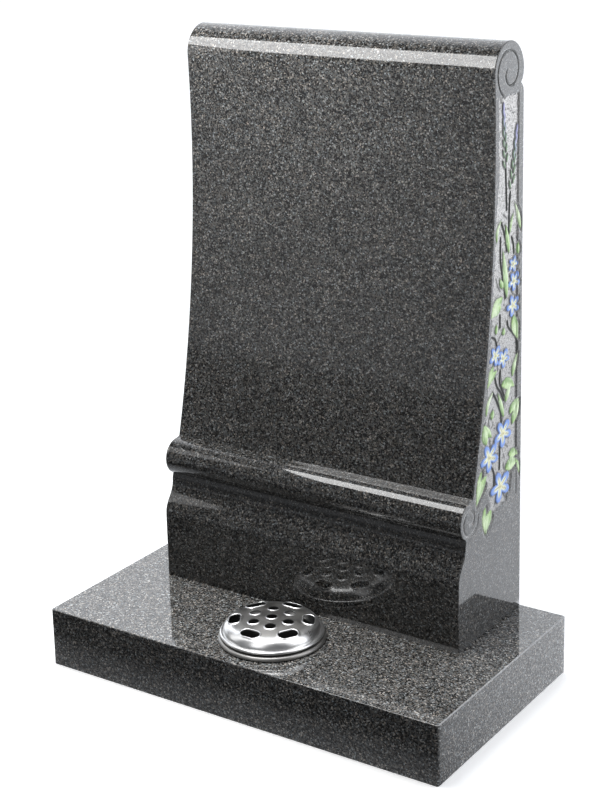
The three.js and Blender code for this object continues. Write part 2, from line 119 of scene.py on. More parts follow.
class Surface:
    """Points and faces gathered from several grids, welded into one closed mesh."""

    def __init__(self) -> None:
        """Starts with nothing in it."""
        self.points: list[Array] = []
        self.faces: list[list[int]] = []
        self.values: dict[str, list[Array]] = {}
        self.count = 0

    def add(self, points: Array, faces: Array, **values: Array) -> None:
        """Adds points in millimetres and the faces between them.

        Args:
            points: Positions, one row each.
            faces: Corner numbers, one face a row, counted within these points.
            **values: Named values, one row for each point.
        """
        self.points.append(points)
        self.faces.extend((faces + self.count).tolist())
        for name, value in values.items():
            self.values.setdefault(name, []).append(value)
        self.count += len(points)

    def grid(self, points: Array, closed_rows: bool, closed_columns: bool, **values: Array) -> None:
        """Adds a grid of points as four-sided faces.

        Args:
            points: Positions by row and column.
            closed_rows: Whether the last row joins the first.
            closed_columns: Whether the last column joins the first.
            **values: Named values by row and column.
        """
        rows, columns = points.shape[:2]
        number = np.arange(rows * columns).reshape(rows, columns)
        if closed_rows:
            number = np.vstack([number, number[:1]])
        if closed_columns:
            number = np.hstack([number, number[:, :1]])
        corners = [number[:-1, :-1], number[:-1, 1:], number[1:, 1:], number[1:, :-1]]
        faces = np.stack([corner.ravel() for corner in corners], axis=1)
        flat = {name: value.reshape(rows * columns, -1) for name, value in values.items()}
        self.add(points.reshape(-1, 3), faces, **flat)

    def make(self, piece: Piece, material: bpy.types.Material, crease: float | None) -> bpy.types.Object:
        """Makes the finished object, welded, smooth and riding on the frame.

        Args:
            piece: Which piece it is.
            material: Its finish.
            crease: Angle in degrees past which an edge stays sharp, or None for none.

        Returns:
            The new object.
        """
        name, node, slot = piece.value
        mesh = bpy.data.meshes.new(name)
        mesh.from_pydata((np.vstack(self.points) * MM).tolist(), [], self.faces)
        for label, parts in self.values.items():
            value = np.vstack(parts).astype(np.float32)
            kind = "FLOAT_COLOR" if value.shape[1] == 4 else "FLOAT"
            attribute = mesh.attributes.new(label, kind, "POINT")
            attribute.data.foreach_set("color" if kind == "FLOAT_COLOR" else "value", value.ravel())
        work = bmesh.new()
        work.from_mesh(mesh)
        bmesh.ops.remove_doubles(work, verts=work.verts, dist=WELD)
        bmesh.ops.recalc_face_normals(work, faces=work.faces)
        for face in work.faces:
            face.smooth = True
        work.to_mesh(mesh)
        work.free()
        if crease is not None:
            mesh.set_sharp_from_angle(angle=math.radians(crease))
        mesh.materials.append(material)
        made = bpy.data.objects.new(name, mesh)
        bpy.context.scene.collection.objects.link(made)
        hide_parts(node)
        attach(made, "root")
        LOG.info("%s: %d faces", name, len(mesh.polygons))
        return made


def lathe(profile: Array, sides: int) -> Array:
    """Turns a profile about the upright axis: each (r, z) becomes (r cos a, r sin a, z).

    Args:
        profile: Radius and height of each point.
        sides: How many angles a full turn has.

    Returns:
        Positions by angle and profile point.
    """
    angle = (2.0 * math.pi / sides) * np.arange(sides)[:, None]
    radius, height = profile[None, :, 0], profile[None, :, 1]
    height = np.broadcast_to(height, (sides, len(profile)))
    return np.stack([radius * np.cos(angle), radius * np.sin(angle), height], axis=-1)


def arc(centre: Place, radius: float, start: float, end: float, steps: int) -> Array:
    """Points of an arc: centre + radius * (cos a, sin a), for angles in degrees."""
    angle = np.radians(np.linspace(start, end, steps + 1))
    return np.stack([centre[0] + radius * np.cos(angle), centre[1] + radius * np.sin(angle)], axis=1)


class Graph:
    """Adds nodes to one node tree and joins them."""

    def __init__(self, tree: bpy.types.NodeTree) -> None:
        """Empties the tree, to build it anew."""
        self.tree = tree
        tree.nodes.clear()

    def node(self, kind: str, feeds: dict[str | int, object] | None = None,
             **settings: object) -> bpy.types.Node:
        """Adds a node.

        Args:
            kind: The node's type.
            feeds: What each input takes, by name or number.
            **settings: The node's own settings, put in before its inputs.

        Returns:
            The node.
        """
        made = self.tree.nodes.new(kind)
        for name, value in settings.items():
            setattr(made, name, value)
        for socket, value in (feeds or {}).items():
            self.feed(made.inputs[socket], value)
        return made

    def feed(self, socket: bpy.types.NodeSocket, value: object) -> None:
        """Joins an output to a socket, or sets the socket to a plain value."""
        if isinstance(value, bpy.types.NodeSocket):
            self.tree.links.new(value, socket)
        elif isinstance(value, tuple) and socket.type == "RGBA" and len(value) == 3:
            socket.default_value = (*value, 1.0)
        else:
            socket.default_value = value

    def math(self, operation: str, first: object, second: object = 0.0) -> object:
        """Adds a Math node and returns its output."""
        return self.node("ShaderNodeMath", {0: first, 1: second}, operation=operation).outputs[0]

    def mix(self, share: object, first: object, second: object, mode: str = "MIX") -> object:
        """Adds a colour Mix node and returns its output."""
        feeds = {"Factor": share, 6: first, 7: second}
        return self.node("ShaderNodeMix", feeds, data_type="RGBA", blend_type=mode).outputs[2]

    def between(self, share: object, low: object, high: object) -> object:
        """Adds a number Mix node from low to high and returns its output."""
        feeds = {"Factor": share, 2: low, 3: high}
        return self.node("ShaderNodeMix", feeds, data_type="FLOAT").outputs[0]

    def spread(self, value: object, low: float, high: float, to_low: float, to_high: float) -> object:
        """Adds a clamped Map Range node and returns its output."""
        feeds = dict(enumerate((value, low, high, to_low, to_high)))
        return self.node("ShaderNodeMapRange", feeds).outputs[0]

    def ramp(self, value: object, stops: Stops) -> object:
        """Adds a grey ramp with (place, grey) stops and returns its colour output."""
        made = self.node("ShaderNodeValToRGB", {0: value})
        ramp = made.color_ramp
        while len(ramp.elements) < len(stops):
            ramp.elements.new(0.5)
        for element, (place, grey) in zip(ramp.elements, stops):
            element.position = place
            element.color = (grey, grey, grey, 1.0)
        return made.outputs[0]

    def noise(self, vector: object, scale: float, detail: float = 2.0, roughness: float = 0.5) -> object:
        """Adds a Noise texture and returns its value output."""
        feeds = {"Vector": vector, "Scale": scale, "Detail": detail, "Roughness": roughness}
        return self.node("ShaderNodeTexNoise", feeds).outputs[0]

    def cells(self, vector: object, scale: object) -> tuple[object, object]:
        """Adds a Voronoi texture and returns two random values of each cell."""
        cell = self.node("ShaderNodeTexVoronoi", {"Vector": vector, "Scale": scale})
        first, second, _ = self.channels(cell.outputs["Color"])
        return first, second

    def channels(self, colour: object) -> tuple[object, ...]:
        """Splits a colour and returns its three channels."""
        return tuple(self.node("ShaderNodeSeparateColor", {0: colour}).outputs)

    def axes(self, vector: object) -> tuple[object, ...]:
        """Splits a vector and returns its three coordinates."""
        return tuple(self.node("ShaderNodeSeparateXYZ", {0: vector}).outputs)

    def scaled(self, colour: object, level: object) -> object:
        """Multiplies a colour by a level and returns the result."""
        return self.node("ShaderNodeVectorMath", {0: colour, "Scale": level}, operation="SCALE").outputs[0]

    def attribute(self, name: str) -> bpy.types.bpy_prop_collection:
        """Reads one of the mesh's named values and returns the node's outputs."""
        return self.node("ShaderNodeAttribute", attribute_name=name).outputs


class Effect:
    """A shader node group that turns a place and some numbers into a colour and some numbers."""

    def __init__(self, name: str, takes: tuple[str, ...], gives: tuple[str, ...]) -> None:
        """Makes the empty group.

        Args:
            name: The group's name.
            takes: Its number inputs, besides Vector.
            gives: Its number outputs, besides Color.
        """
        self.tree = bpy.data.node_groups.new(name, "ShaderNodeTree")
        sockets = [("Vector", "INPUT", "NodeSocketVector"), ("Color", "OUTPUT", "NodeSocketColor")]
        sockets += [(label, "INPUT", "NodeSocketFloat") for label in takes]
        sockets += [(label, "OUTPUT", "NodeSocketFloat") for label in gives]
        for label, way, kind in sockets:
            self.tree.interface.new_socket(label, in_out=way, socket_type=kind)
        self.graph = Graph(self.tree)
        self.given = self.graph.node("NodeGroupInput").outputs

    def give(self, **results: object) -> bpy.types.NodeTree:
        """Joins the results to the group's outputs and returns the group."""
        self.graph.node("NodeGroupOutput", results)
        return self.tree


CRYSTAL_GREYS: Stops = ((0.0, 0.002), (0.38, 0.004), (0.42, 0.08), (0.58, 0.12), (0.76, 0.17),
                        (0.89, 0.23), (0.93, 0.42), (1.0, 0.6))
CHIP_GREYS: Stops = ((0.0, 0.003), (0.28, 0.01), (0.34, 0.06), (0.7, 0.12), (1.0, 0.28))
BRUISE_GREYS: Stops = ((0.0, 0.28), (0.35, 0.52), (0.6, 0.74), (1.0, 0.95))
WARM_TINT: Triple = (1.14, 1.0, 0.86)
COOL_TINT: Triple = (0.9, 1.0, 1.06)
BRUISE_TINT: Triple = (1.02, 1.0, 0.98)
PIT_COLOUR: Triple = (0.12, 0.095, 0.07)
SATIN_DARK: Triple = (0.46, 0.45, 0.435)
SATIN_LIGHT: Triple = (0.56, 0.55, 0.535)
POLISHED: Triple = (0.8, 0.8, 0.8)
# Near-black that the metal's darkening blends toward: painted shade inside the pot and under the lid.
TARNISHED: Triple = (0.09, 0.09, 0.088)


def granite_grain() -> bpy.types.NodeTree:
    """Builds the group for granite: interlocked dark, grey and pale crystals.

    Each Voronoi cell is one crystal. A cell's random value picks its grey from a ramp, a finer
    set of cells breaks the crystals up, and slow noise makes the stone a little uneven.

    Returns:
        The group, with outputs Color, Roughness and Height.
    """
    effect = Effect("granite_grain", ("Fineness", "Lightness"), ("Roughness", "Height"))
    graph, given = effect.graph, effect.given
    warp = graph.node("ShaderNodeTexNoise", {"Vector": given["Vector"], "Scale": 340.0}).outputs["Color"]
    reach = 0.0011
    bent = graph.node("ShaderNodeVectorMath", {0: warp, 1: (reach, reach, reach), 2: given["Vector"]},
                      operation="MULTIPLY_ADD").outputs[0]
    crystal, tint = graph.cells(bent, given["Fineness"])
    chip, gloss = graph.cells(bent, graph.math("MULTIPLY", given["Fineness"], 2.3))
    grey = graph.mix(0.2, graph.ramp(crystal, CRYSTAL_GREYS), graph.ramp(chip, CHIP_GREYS))
    stone = graph.mix(1.0, grey, graph.mix(tint, WARM_TINT, COOL_TINT), "MULTIPLY")
    slow = graph.spread(graph.noise(given["Vector"], 14.0), 0.3, 0.7, 0.92, 1.08)
    return effect.give(Color=graph.scaled(stone, graph.math("MULTIPLY", slow, given["Lightness"])),
                       Roughness=graph.spread(gloss, 0.0, 1.0, 0.035, 0.085), Height=crystal)


def pecked_face() -> bpy.types.NodeTree:
    """Builds the group for a pecked granite ground: bruised pale stone with dark pits.

    Returns:
        The group, with outputs Color and Height.
    """
    effect = Effect("pecked_face", (), ("Height",))
    graph, place = effect.graph, effect.given["Vector"]
    bruise, pit = graph.cells(place, 820.0)
    cloud = graph.noise(place, 900.0, 3.0, 0.6)
    pale = graph.ramp(graph.between(0.5, bruise, cloud), BRUISE_GREYS)
    pale = graph.mix(1.0, pale, BRUISE_TINT, "MULTIPLY")
    dark = graph.spread(pit, 0.84, 0.95, 0.0, 0.75)
    return effect.give(Color=graph.mix(dark, pale, PIT_COLOUR), Height=graph.between(dark, cloud, 0.0))


def spun_metal() -> bpy.types.NodeTree:
    """Builds the group for spun sheet metal: fine rings about the upright axis.

    The rings are noise read along the distance from the axis, so they run round the piece.

    Returns:
        The group, with outputs Color, Roughness and Height.
    """
    effect = Effect("spun_metal", ("Polish", "Tarnish", "Satin", "Mirror"), ("Roughness", "Height"))
    graph, given = effect.graph, effect.given
    x, y, z = graph.axes(given["Vector"])
    square = graph.math("ADD", graph.math("POWER", x, 2.0), graph.math("POWER", y, 2.0))
    feeds = {0: graph.math("SQRT", square), 2: graph.math("MULTIPLY", z, 0.3)}
    rings = graph.noise(graph.node("ShaderNodeCombineXYZ", feeds).outputs[0], 1500.0, 3.0, 0.6)
    satin = graph.mix(graph.spread(rings, 0.3, 0.7, 0.0, 1.0), SATIN_DARK, SATIN_LIGHT)
    # The darkening value blends the metal toward near-black: painted shade inside and under the pieces, and a
    # lesser darkening on the flange.
    tone = graph.mix(given["Tarnish"], graph.mix(given["Polish"], satin, POLISHED), TARNISHED)
    rough = graph.between(given["Polish"], given["Satin"], given["Mirror"])
    rough = graph.between(given["Tarnish"], rough, 0.55)
    smear = graph.spread(graph.noise(given["Vector"], 60.0, 3.0, 0.55), 0.3, 0.7, 0.85, 1.2)
    plain = graph.math("SUBTRACT", 1.0, given["Polish"])
    return effect.give(Color=tone, Roughness=graph.math("MULTIPLY", rough, smear),
                       Height=graph.math("MULTIPLY", rings, plain))


class Coat:
    """A material as it is built: its graph, its shader and its Object coordinates."""

    def __init__(self, name: str) -> None:
        """Starts the material under a name."""
        self.made = bpy.data.materials.new(name)
        self.made.use_nodes = True
        self.graph = Graph(self.made.node_tree)
        self.shader = self.graph.node("ShaderNodeBsdfPrincipled")
        self.graph.node("ShaderNodeOutputMaterial", {"Surface": self.shader.outputs[0]})
        self.place = self.graph.node("ShaderNodeTexCoord").outputs["Object"]

    def effect(self, tree: bpy.types.NodeTree, **feeds: object) -> bpy.types.bpy_prop_collection:
        """Places a node group with its inputs set or joined, and returns its outputs."""
        return self.graph.node("ShaderNodeGroup", feeds, node_tree=tree).outputs

    def close(self, colour: object, rough: object, height: object, strength: float,
              relief: float) -> bpy.types.Material:
        """Joins the results to the shader.

        Args:
            colour: Colour output.
            rough: Roughness output.
            height: Output with the height of the fine relief.
            strength: How strongly the relief turns the surface.
            relief: Height of the relief in millimetres.

        Returns:
            The material.
        """
        feeds = {"Strength": strength, "Distance": relief * MM, "Height": height}
        bump = self.graph.node("ShaderNodeBump", feeds)
        for label, value in (("Base Color", colour), ("Roughness", rough), ("Normal", bump.outputs[0])):
            self.graph.feed(self.shader.inputs[label], value)
        return self.made


@dataclass(frozen=True)
class PolishedGranite:
    """Polished dark grey granite; carved adds the pecked and painted work of the stone's end."""

    grain: bpy.types.NodeTree
    # Grain brightness, used as painted light and shade: the base's granite is painted about 2.4 times as
    # bright as the stone's, lit and shaded copies of one granite.
    lightness: float = 0.98
    fineness: float = 600.0
    index: float = 1.55
    carved: bpy.types.NodeTree | None = None
    honed_colour: Triple = (0.5, 0.5, 0.51)
    honed_rough: float = 0.6
    line_colour: Triple = (0.014, 0.016, 0.014)
    pecked_rough: float = 0.8
    pecked_height: float = 30.0
    paint_rough: float = 0.45

    def material(self, name: str) -> bpy.types.Material:
        """Builds the finish under a name."""
        coat = Coat(name)
        graph = coat.graph
        coat.shader.inputs["IOR"].default_value = self.index
        grain = coat.effect(self.grain, Vector=coat.place, Fineness=self.fineness, Lightness=self.lightness)
        # Painted highlight: the arris value read here turns the colour pale, as a highlight line, and raises
        # the roughness as on a honed finish.
        honed, height = graph.attribute("honed")["Fac"], grain["Height"]
        colour = graph.mix(honed, grain["Color"], self.honed_colour)
        rough = graph.between(honed, grain["Roughness"], self.honed_rough)
        if self.carved is not None:
            # The carve mask's green channel darkens toward near-black: painted shade in cuts, in hollows and
            # beside raised forms, and the dark stone of the stems.
            pecked, line, _ = graph.channels(graph.attribute("carve_mask")["Color"])
            paint = graph.attribute("carve_paint")
            ground = coat.effect(self.carved, Vector=coat.place)
            worn = graph.spread(graph.noise(coat.place, 700.0, 3.0), 0.3, 0.7, 0.82, 1.1)
            colour = graph.mix(pecked, colour, ground["Color"])
            colour = graph.mix(line, colour, self.line_colour)
            colour = graph.mix(paint["Alpha"], colour, graph.scaled(paint["Color"], worn))
            rough = graph.between(graph.math("MAXIMUM", pecked, line), rough, self.pecked_rough)
            rough = graph.between(paint["Alpha"], rough, self.paint_rough)
            pits = graph.math("MULTIPLY", ground["Height"], self.pecked_height)
            height = graph.between(pecked, height, pits)
        return coat.close(colour, rough, height, 0.05, 0.02)


@dataclass(frozen=True)
class SpunAluminium:
    """Spun aluminium, satin on the flat and polished where the piece's polish value says."""

    rings: bpy.types.NodeTree
    centre: Place
    satin: float = 0.34
    mirror: float = 0.3

    def material(self, name: str) -> bpy.types.Material:
        """Builds the finish under a name."""
        coat = Coat(name)
        coat.shader.inputs["Metallic"].default_value = 1.0
        to_axis = (-self.centre[0] * MM, -self.centre[1] * MM, 0.0)
        middle = coat.graph.node("ShaderNodeMapping", {"Vector": coat.place, "Location": to_axis})
        polish, tarnish = (coat.graph.attribute(name)["Fac"] for name in ("polish", "tarnish"))
        spun = coat.effect(self.rings, Vector=middle.outputs[0], Polish=polish, Tarnish=tarnish,
                           Satin=self.satin, Mirror=self.mirror)
        return coat.close(spun["Color"], spun["Roughness"], spun["Height"], 0.12, 0.05)


@dataclass(frozen=True)
class BaseSlab:
    """The granite base: a slab with rounded corners and arrises around a cored hole."""

    width: float = 610.0
    depth: float = 344.0
    height: float = 82.0
    corner: float = 4.0
    arris: float = 1.2
    hole: Place = (5.0, -85.0)
    hole_radius: float = 63.5
    support: float = 0.5
    corner_steps: int = 6
    side_steps: int = 18
    honed_front: float = 0.05
    honed_ends: float = 0.4

    def outline(self) -> tuple[Array, Array]:
        """Works out the slab's plan as points and outward unit normals.

        Each corner is an arc of normals (cos a, sin a); the sides between are straight runs.

        Returns:
            The points and their normals.
        """
        x, y = self.width / 2 - self.corner, self.depth / 2 - self.corner
        points, normals = [], []
        for turn, centre in enumerate(((x, y), (-x, y), (-x, -y), (x, -y))):
            angle = np.radians(np.linspace(90 * turn, 90 * turn + 90, self.corner_steps + 1))
            normal = np.stack([np.cos(angle), np.sin(angle)], axis=1)
            points.append(np.array(centre) + self.corner * normal)
            normals.append(normal)
        run, facing = [], []
        for index in range(4):
            last, first = points[index][-1], points[(index + 1) % 4][0]
            share = np.linspace(0, 1, self.side_steps + 1)[1:-1, None]
            run += [points[index], blend(last, first, share)]
            facing += [normals[index], np.repeat(normals[index][-1:], self.side_steps - 1, axis=0)]
        return np.vstack(run), np.vstack(facing)

    def build(self, finish: PolishedGranite) -> bpy.types.Object:
        """Builds the slab as rings from the hole's foot, under, up the sides and back to the hole.

        Each ring is the plan moved in by an inset and set at a height. Along an arris the inset
        is a(1 - cos t) and the height a(1 - sin t) for an angle t.

        Args:
            finish: The slab's finish.

        Returns:
            The slab.
        """
        plan, normal = self.outline()
        round_to = np.arctan2(plan[:, 1] - self.hole[1], plan[:, 0] - self.hole[0])
        circle = np.stack([np.cos(round_to), np.sin(round_to)], axis=1)
        turn = np.radians(np.linspace(0, 90, ARRIS_STEPS))
        inset, rise = self.arris * (1 - np.sin(turn)), self.arris * (1 - np.cos(turn))
        rings = [(self.arris + self.support, 0.0), *zip(inset, rise)]
        above = [(i, self.height - h) for i, h in reversed(rings)]
        middle = [(0.0, self.arris + self.support), (0.0, self.height - self.arris - self.support)]

        def hole_ring(grow: float, height: float) -> Array:
            """A ring about the hole, wider than it by grow."""
            flat = np.array(self.hole) + (self.hole_radius + grow) * circle
            return np.column_stack([flat, np.full(len(flat), height)])

        def plan_ring(inward: float, height: float) -> Array:
            """The plan moved in and set at a height."""
            return np.column_stack([plan - inward * normal, np.full(len(plan), height)])

        around = [hole_ring(0.0, self.support), hole_ring(0.0, 0.0), hole_ring(self.support, 0.0)]
        hole_rings = len(around)
        around += [plan_ring(i, h) for i, h in rings + middle + above]
        around += [hole_ring(self.support, self.height), hole_ring(0.0, self.height)]
        around += [hole_ring(0.0, self.height - self.support)]
        surface = Surface()
        points = np.stack(around)
        start = hole_rings + len(rings) + len(middle)
        # Painted highlight: the top arris is painted pale as a highlight line, faint on the front and
        # stronger on the ends.
        honed = np.zeros((*points.shape[:2], 1))
        honed[start: start + len(turn)] = self.honed_front + self.honed_ends * np.abs(normal[None, :, :1])
        surface.grid(points, closed_rows=True, closed_columns=True, honed=honed)
        return surface.make(Piece.BASE, finish.material("polished_granite_base"), crease=50.0)


@dataclass(frozen=True)
class StoneProfile:
    """The stone's end outline: depths run forward from its back, heights up from the base."""

    foot_depth: float = 170.0
    foot_height: float = 91.0
    neck_depth: float = 152.0
    neck_height: float = 141.0
    bead_depth: float = 165.0
    bead_radius: float = 25.6
    bead_height: float = 172.0
    bead_ledge: float = 1.4
    bead_undercut: float = 65.0
    thinnest: float = 76.0
    face_radius: float = 1800.0
    roll_radius: float = 39.0
    roll_height: float = 733.0
    tuck_radius: float = 24.0
    tuck_sweep: float = 45.0
    lip_radius: float = 16.0
    face_step: float = 1.6
    foot_rows: int = 9
    moulding_rows: int = 17
    bead_steps: int = 30
    roll_steps: int = 30
    lip_rows: int = 12
    tuck_rows: int = 13

    @property
    def roll(self) -> Place:
        """Centre of the roll."""
        return self.roll_radius, self.roll_height

    @property
    def bead(self) -> Place:
        """Centre of the bead."""
        return self.bead_depth - self.bead_radius, self.bead_height

    @property
    def face_centre(self) -> Place:
        """Centre of the hollow face's arc."""
        depth = self.thinnest + self.face_radius
        reach = (self.face_radius + self.roll_radius) ** 2 - (depth - self.roll_radius) ** 2
        return depth, self.roll_height - math.sqrt(reach)

    def face_depth(self, height: Array) -> Array:
        """Depth of the hollow face: c - sqrt(R^2 - (h - hc)^2) for its centre (c, hc)."""
        depth, middle = self.face_centre
        return depth - np.sqrt(self.face_radius ** 2 - (height - middle) ** 2)

    def notch(self) -> tuple[Place, float]:
        """The notch under the roll at the back, and the height where the flat back ends."""
        sweep = math.radians(self.tuck_sweep)
        depth = self.tuck_radius * (1 - math.cos(sweep))
        height = self.roll_height - self.tuck_radius * math.sin(sweep)
        lip = math.acos((self.lip_radius - depth) / self.lip_radius)
        return (depth, height), height - self.lip_radius * math.sin(lip)

    def back_depth(self, height: Array) -> Array:
        """Depth of the back: flat, then round into the notch, the tuck and the roll."""
        (_, notch), lip = self.notch()

        def bulge(radius: float, middle: float) -> Array:
            """Left side of a circle that touches depth 0."""
            return radius - np.sqrt(np.clip(radius ** 2 - (height - middle) ** 2, 0, None))

        steps = [height <= lip, height <= notch, height <= self.roll_height]
        parts = [0.0 * height, bulge(self.lip_radius, lip), bulge(self.tuck_radius, self.roll_height)]
        return np.select(steps, parts, bulge(self.roll_radius, self.roll_height))

    def rows(self) -> tuple[Array, Array]:
        """Works out the outline as matched rows, front and back at the same height.

        Returns:
            Front points and back points, each as depth and height.
        """
        rise = np.linspace(0, self.foot_height - 1, self.foot_rows)
        foot = np.column_stack([np.full(self.foot_rows, self.foot_depth), rise])
        share = np.linspace(0, 1, self.moulding_rows)[:, None]
        middle = (self.foot_height + self.neck_height) / 2
        knots = np.array([(self.foot_depth, self.foot_height), (self.foot_depth, middle),
                          (self.neck_depth, middle), (self.neck_depth, self.neck_height)])
        weight = [(1 - share) ** 3, 3 * share * (1 - share) ** 2, 3 * share ** 2 * (1 - share), share ** 3]
        moulding = sum(w * knot for w, knot in zip(weight, knots))
        bead = arc(self.bead, self.bead_radius, -self.bead_undercut, 90, self.bead_steps)
        under = blend(moulding[-1], bead[0], np.array([[0.5], [0.94]]))
        ledge_height = self.bead_height + self.bead_radius + self.bead_ledge
        ledge = np.array([(self.face_depth(ledge_height), ledge_height)])
        shelf = blend(bead[-1], ledge[0], np.array([[0.5], [0.96]]))
        centre = np.array(self.face_centre)
        touch = blend(centre, np.array(self.roll), self.face_radius / (self.face_radius + self.roll_radius))
        (_, notch), lip = self.notch()
        count = int((lip - ledge_height) / self.face_step)
        heights = [ledge_height + 0.4, *np.linspace(ledge_height + self.face_step, lip, count)]
        heights += list(np.linspace(lip, notch, self.lip_rows)[1:]) + [notch + 0.3]
        heights += list(np.linspace(notch, touch[1], self.tuck_rows)[1:])
        face = np.column_stack([self.face_depth(np.array(heights)), heights])
        start = math.degrees(math.asin((touch[1] - self.roll_height) / self.roll_radius))
        roll = arc(self.roll, self.roll_radius, start, 90, self.roll_steps)[1:]
        front = np.vstack([foot, moulding, under, bead, shelf, ledge, face, roll])
        back = np.column_stack([self.back_depth(front[:, 1]), front[:, 1]])
        back[-1] = front[-1]
        return front, back

    @staticmethod
    def outward(points: Array, side: float) -> Array:
        """Unit normals of a rising run of points.

        Args:
            points: Depth and height of each row, from the foot to the top of the roll.
            side: 1 for the front, -1 for the back.

        Returns:
            One normal for each row.
        """
        step = np.diff(points, axis=0)
        step /= np.linalg.norm(step, axis=1, keepdims=True)
        top = np.array([[-side, 0.0]])
        along = np.vstack([step[:1], step[:-1] + step[1:], top])
        along /= np.linalg.norm(along, axis=1, keepdims=True)
        return side * np.column_stack([along[:, 1], -along[:, 0]])


@dataclass(frozen=True)
class Leaf:
    """A leaf or bud: root and tip as shares of the panel, width and bend as shares of its height."""

    root: Place
    tip: Place
    width: float
    bend: float
    # How much the leaf whitens towards its tip, a painted highlight.
    pale: float = 0.0


@dataclass(frozen=True)
class Bloom:
    """A five-petalled bloom: its middle and radius as shares of the panel, its turn in radians."""

    at: Place
    radius: float
    turn: float


@dataclass(frozen=True)
class Sprig:
    """A sprig of small florets up a stalk."""

    root: Place
    tip: Place
    florets: int = 12


GROUND: tuple[Place, ...] = (
    (0, 1), (0.81, 1), (0.79, 0.82), (0.87, 0.74), (0.89, 0.6), (0.87, 0.4), (0.86, 0.25),
    (0.78, 0.13), (0.62, 0.04), (0.5, -0.01), (0.2, 0), (0.1, 0.06), (0, 0.12),
)
BLOOMS: tuple[Bloom, ...] = (
    Bloom((0.15, 0.591), 0.021, 0.7),
    Bloom((0.11, 0.548), 0.026, 1.04),
    Bloom((0.14, 0.488), 0.028, 1.22),
    Bloom((0.69, 0.385), 0.027, 0.9),
    Bloom((0.43, 0.368), 0.026, 0.93),
    Bloom((0.35, 0.177), 0.037, 1),
    Bloom((0.67, 0.136), 0.038, 1.08),
    Bloom((0.35, 0.043), 0.042, 1.21),
)
LEAVES: tuple[Leaf, ...] = (
    Leaf((0.82, 0.658), (0.62, 0.714), 0.011, -0.3, 0.8),
    Leaf((0.32, 0.621), (0.5, 0.7), 0.016, 0.02),
    Leaf((0.3, 0.67), (0.14, 0.72), 0.011, -0.12, 0.3),
    Leaf((-0.13, 0.668), (0.14, 0.745), 0.014, 0.1, 0.9),
    Leaf((0.37, 0.513), (0.58, 0.64), 0.021, 0.03, 0.3),
    Leaf((0.53, 0.522), (0.92, 0.484), 0.03, 0.1, 0.3),
    Leaf((0.56, 0.499), (0.93, 0.481), 0.026, 0.14, 0.5),
    Leaf((0.11, 0.464), (-0.06, 0.395), 0.028, 0.06, 0.2),
    Leaf((0.12, 0.308), (-0.05, 0.365), 0.017, -0.05, 0.6),
    Leaf((0.75, 0.362), (0.88, 0.326), 0.018, -0.08, 0.2),
    Leaf((0.62, 0.346), (0.89, 0.311), 0.02, 0.18, 0.2),
    Leaf((0.46, 0.302), (0.04, 0.28), 0.03, -0.22, 0.1),
    Leaf((0.31, 0.252), (0.16, 0.296), 0.018, -0.03, 0.6),
    Leaf((0.85, 0.243), (0.67, 0.3), 0.013, -0.24, 0.9),
    Leaf((0.34, 0.215), (0.56, 0.29), 0.015, 0.04, 0.3),
    Leaf((0.65, 0.185), (0.89, 0.229), 0.019, -0.07, 0.2),
    Leaf((0.77, 0.172), (0.9, 0.228), 0.025, -0.06, 0.2),
    Leaf((0.18, 0.215), (-0.11, 0.243), 0.023, -0.18, 0.3),
    Leaf((0.1, 0.185), (-0.1, 0.239), 0.026, 0, 0.5),
    Leaf((0.18, 0.114), (-0.06, 0.098), 0.026, -0.12, 0.1),
    Leaf((0.25, 0.08), (-0.06, 0.08), 0.034, -0.15, 0.3),
    Leaf((-0.02, 0.088), (-0.08, 0.042), 0.011, -0.13, 0.3),
    Leaf((0.84, 0.115), (0.91, 0.06), 0.016, 0, 0.2),
    Leaf((0.7, 0.095), (0.88, 0.03), 0.027, 0.16, 0.3),
    Leaf((0.67, 0.017), (0.62, -0.055), 0.018, 0.1, 0.4),
    Leaf((0.53, 0), (0.61, -0.056), 0.028, 0.08, 0.4),
)
BUDS: tuple[Leaf, ...] = (
    Leaf((-0.04, 0.61), (-0.04, 0.642), 0.015, 0),
    Leaf((0.53, 0.542), (0.66, 0.57), 0.016, 0),
    Leaf((0.71, 0.436), (0.7, 0.463), 0.013, 0),
    Leaf((0.44, 0.424), (0.45, 0.445), 0.015, 0),
    Leaf((0.68, 0.228), (0.66, 0.254), 0.017, 0),
)
STEMS: tuple[tuple[Place, ...], ...] = (
    ((0.505, 0.84), (0.47, 0.79), (0.43, 0.73)),
    ((0.28, 0.77), (0.31, 0.75), (0.33, 0.69), (0.35, 0.63)),
    ((0.65, 0.705), (0.57, 0.688), (0.46, 0.66), (0.4, 0.63)),
    ((0.66, 0.668), (0.64, 0.615), (0.56, 0.58), (0.48, 0.55), (0.41, 0.515)),
    ((0.2, 0.658), (0.13, 0.639), (0.1, 0.617)),
    ((0.31, 0.455), (0.27, 0.439), (0.1, 0.417), (-0.01, 0.397), (-0.02, 0.36)),
    ((0.58, 0.479), (0.56, 0.448)),
    ((0.83, 0.434), (0.72, 0.426), (0.65, 0.409)),
    ((0.65, 0.33), (0.57, 0.304), (0.44, 0.282), (0.35, 0.26)),
    ((0.49, 0.34), (0.49, 0.31), (0.41, 0.289), (0.34, 0.27)),
    ((0.69, 0.295), (0.57, 0.271), (0.46, 0.244), (0.41, 0.225), (0.39, 0.204)),
    ((0.4, 0.148), (0.38, 0.088)),
    ((0.59, 0.108), (0.51, 0.086), (0.49, 0.055)),
)
SPRIGS: tuple[Sprig, ...] = (Sprig((0.27, 0.775), (0.05, 0.917)), Sprig((0.5, 0.83), (0.62, 0.978)))
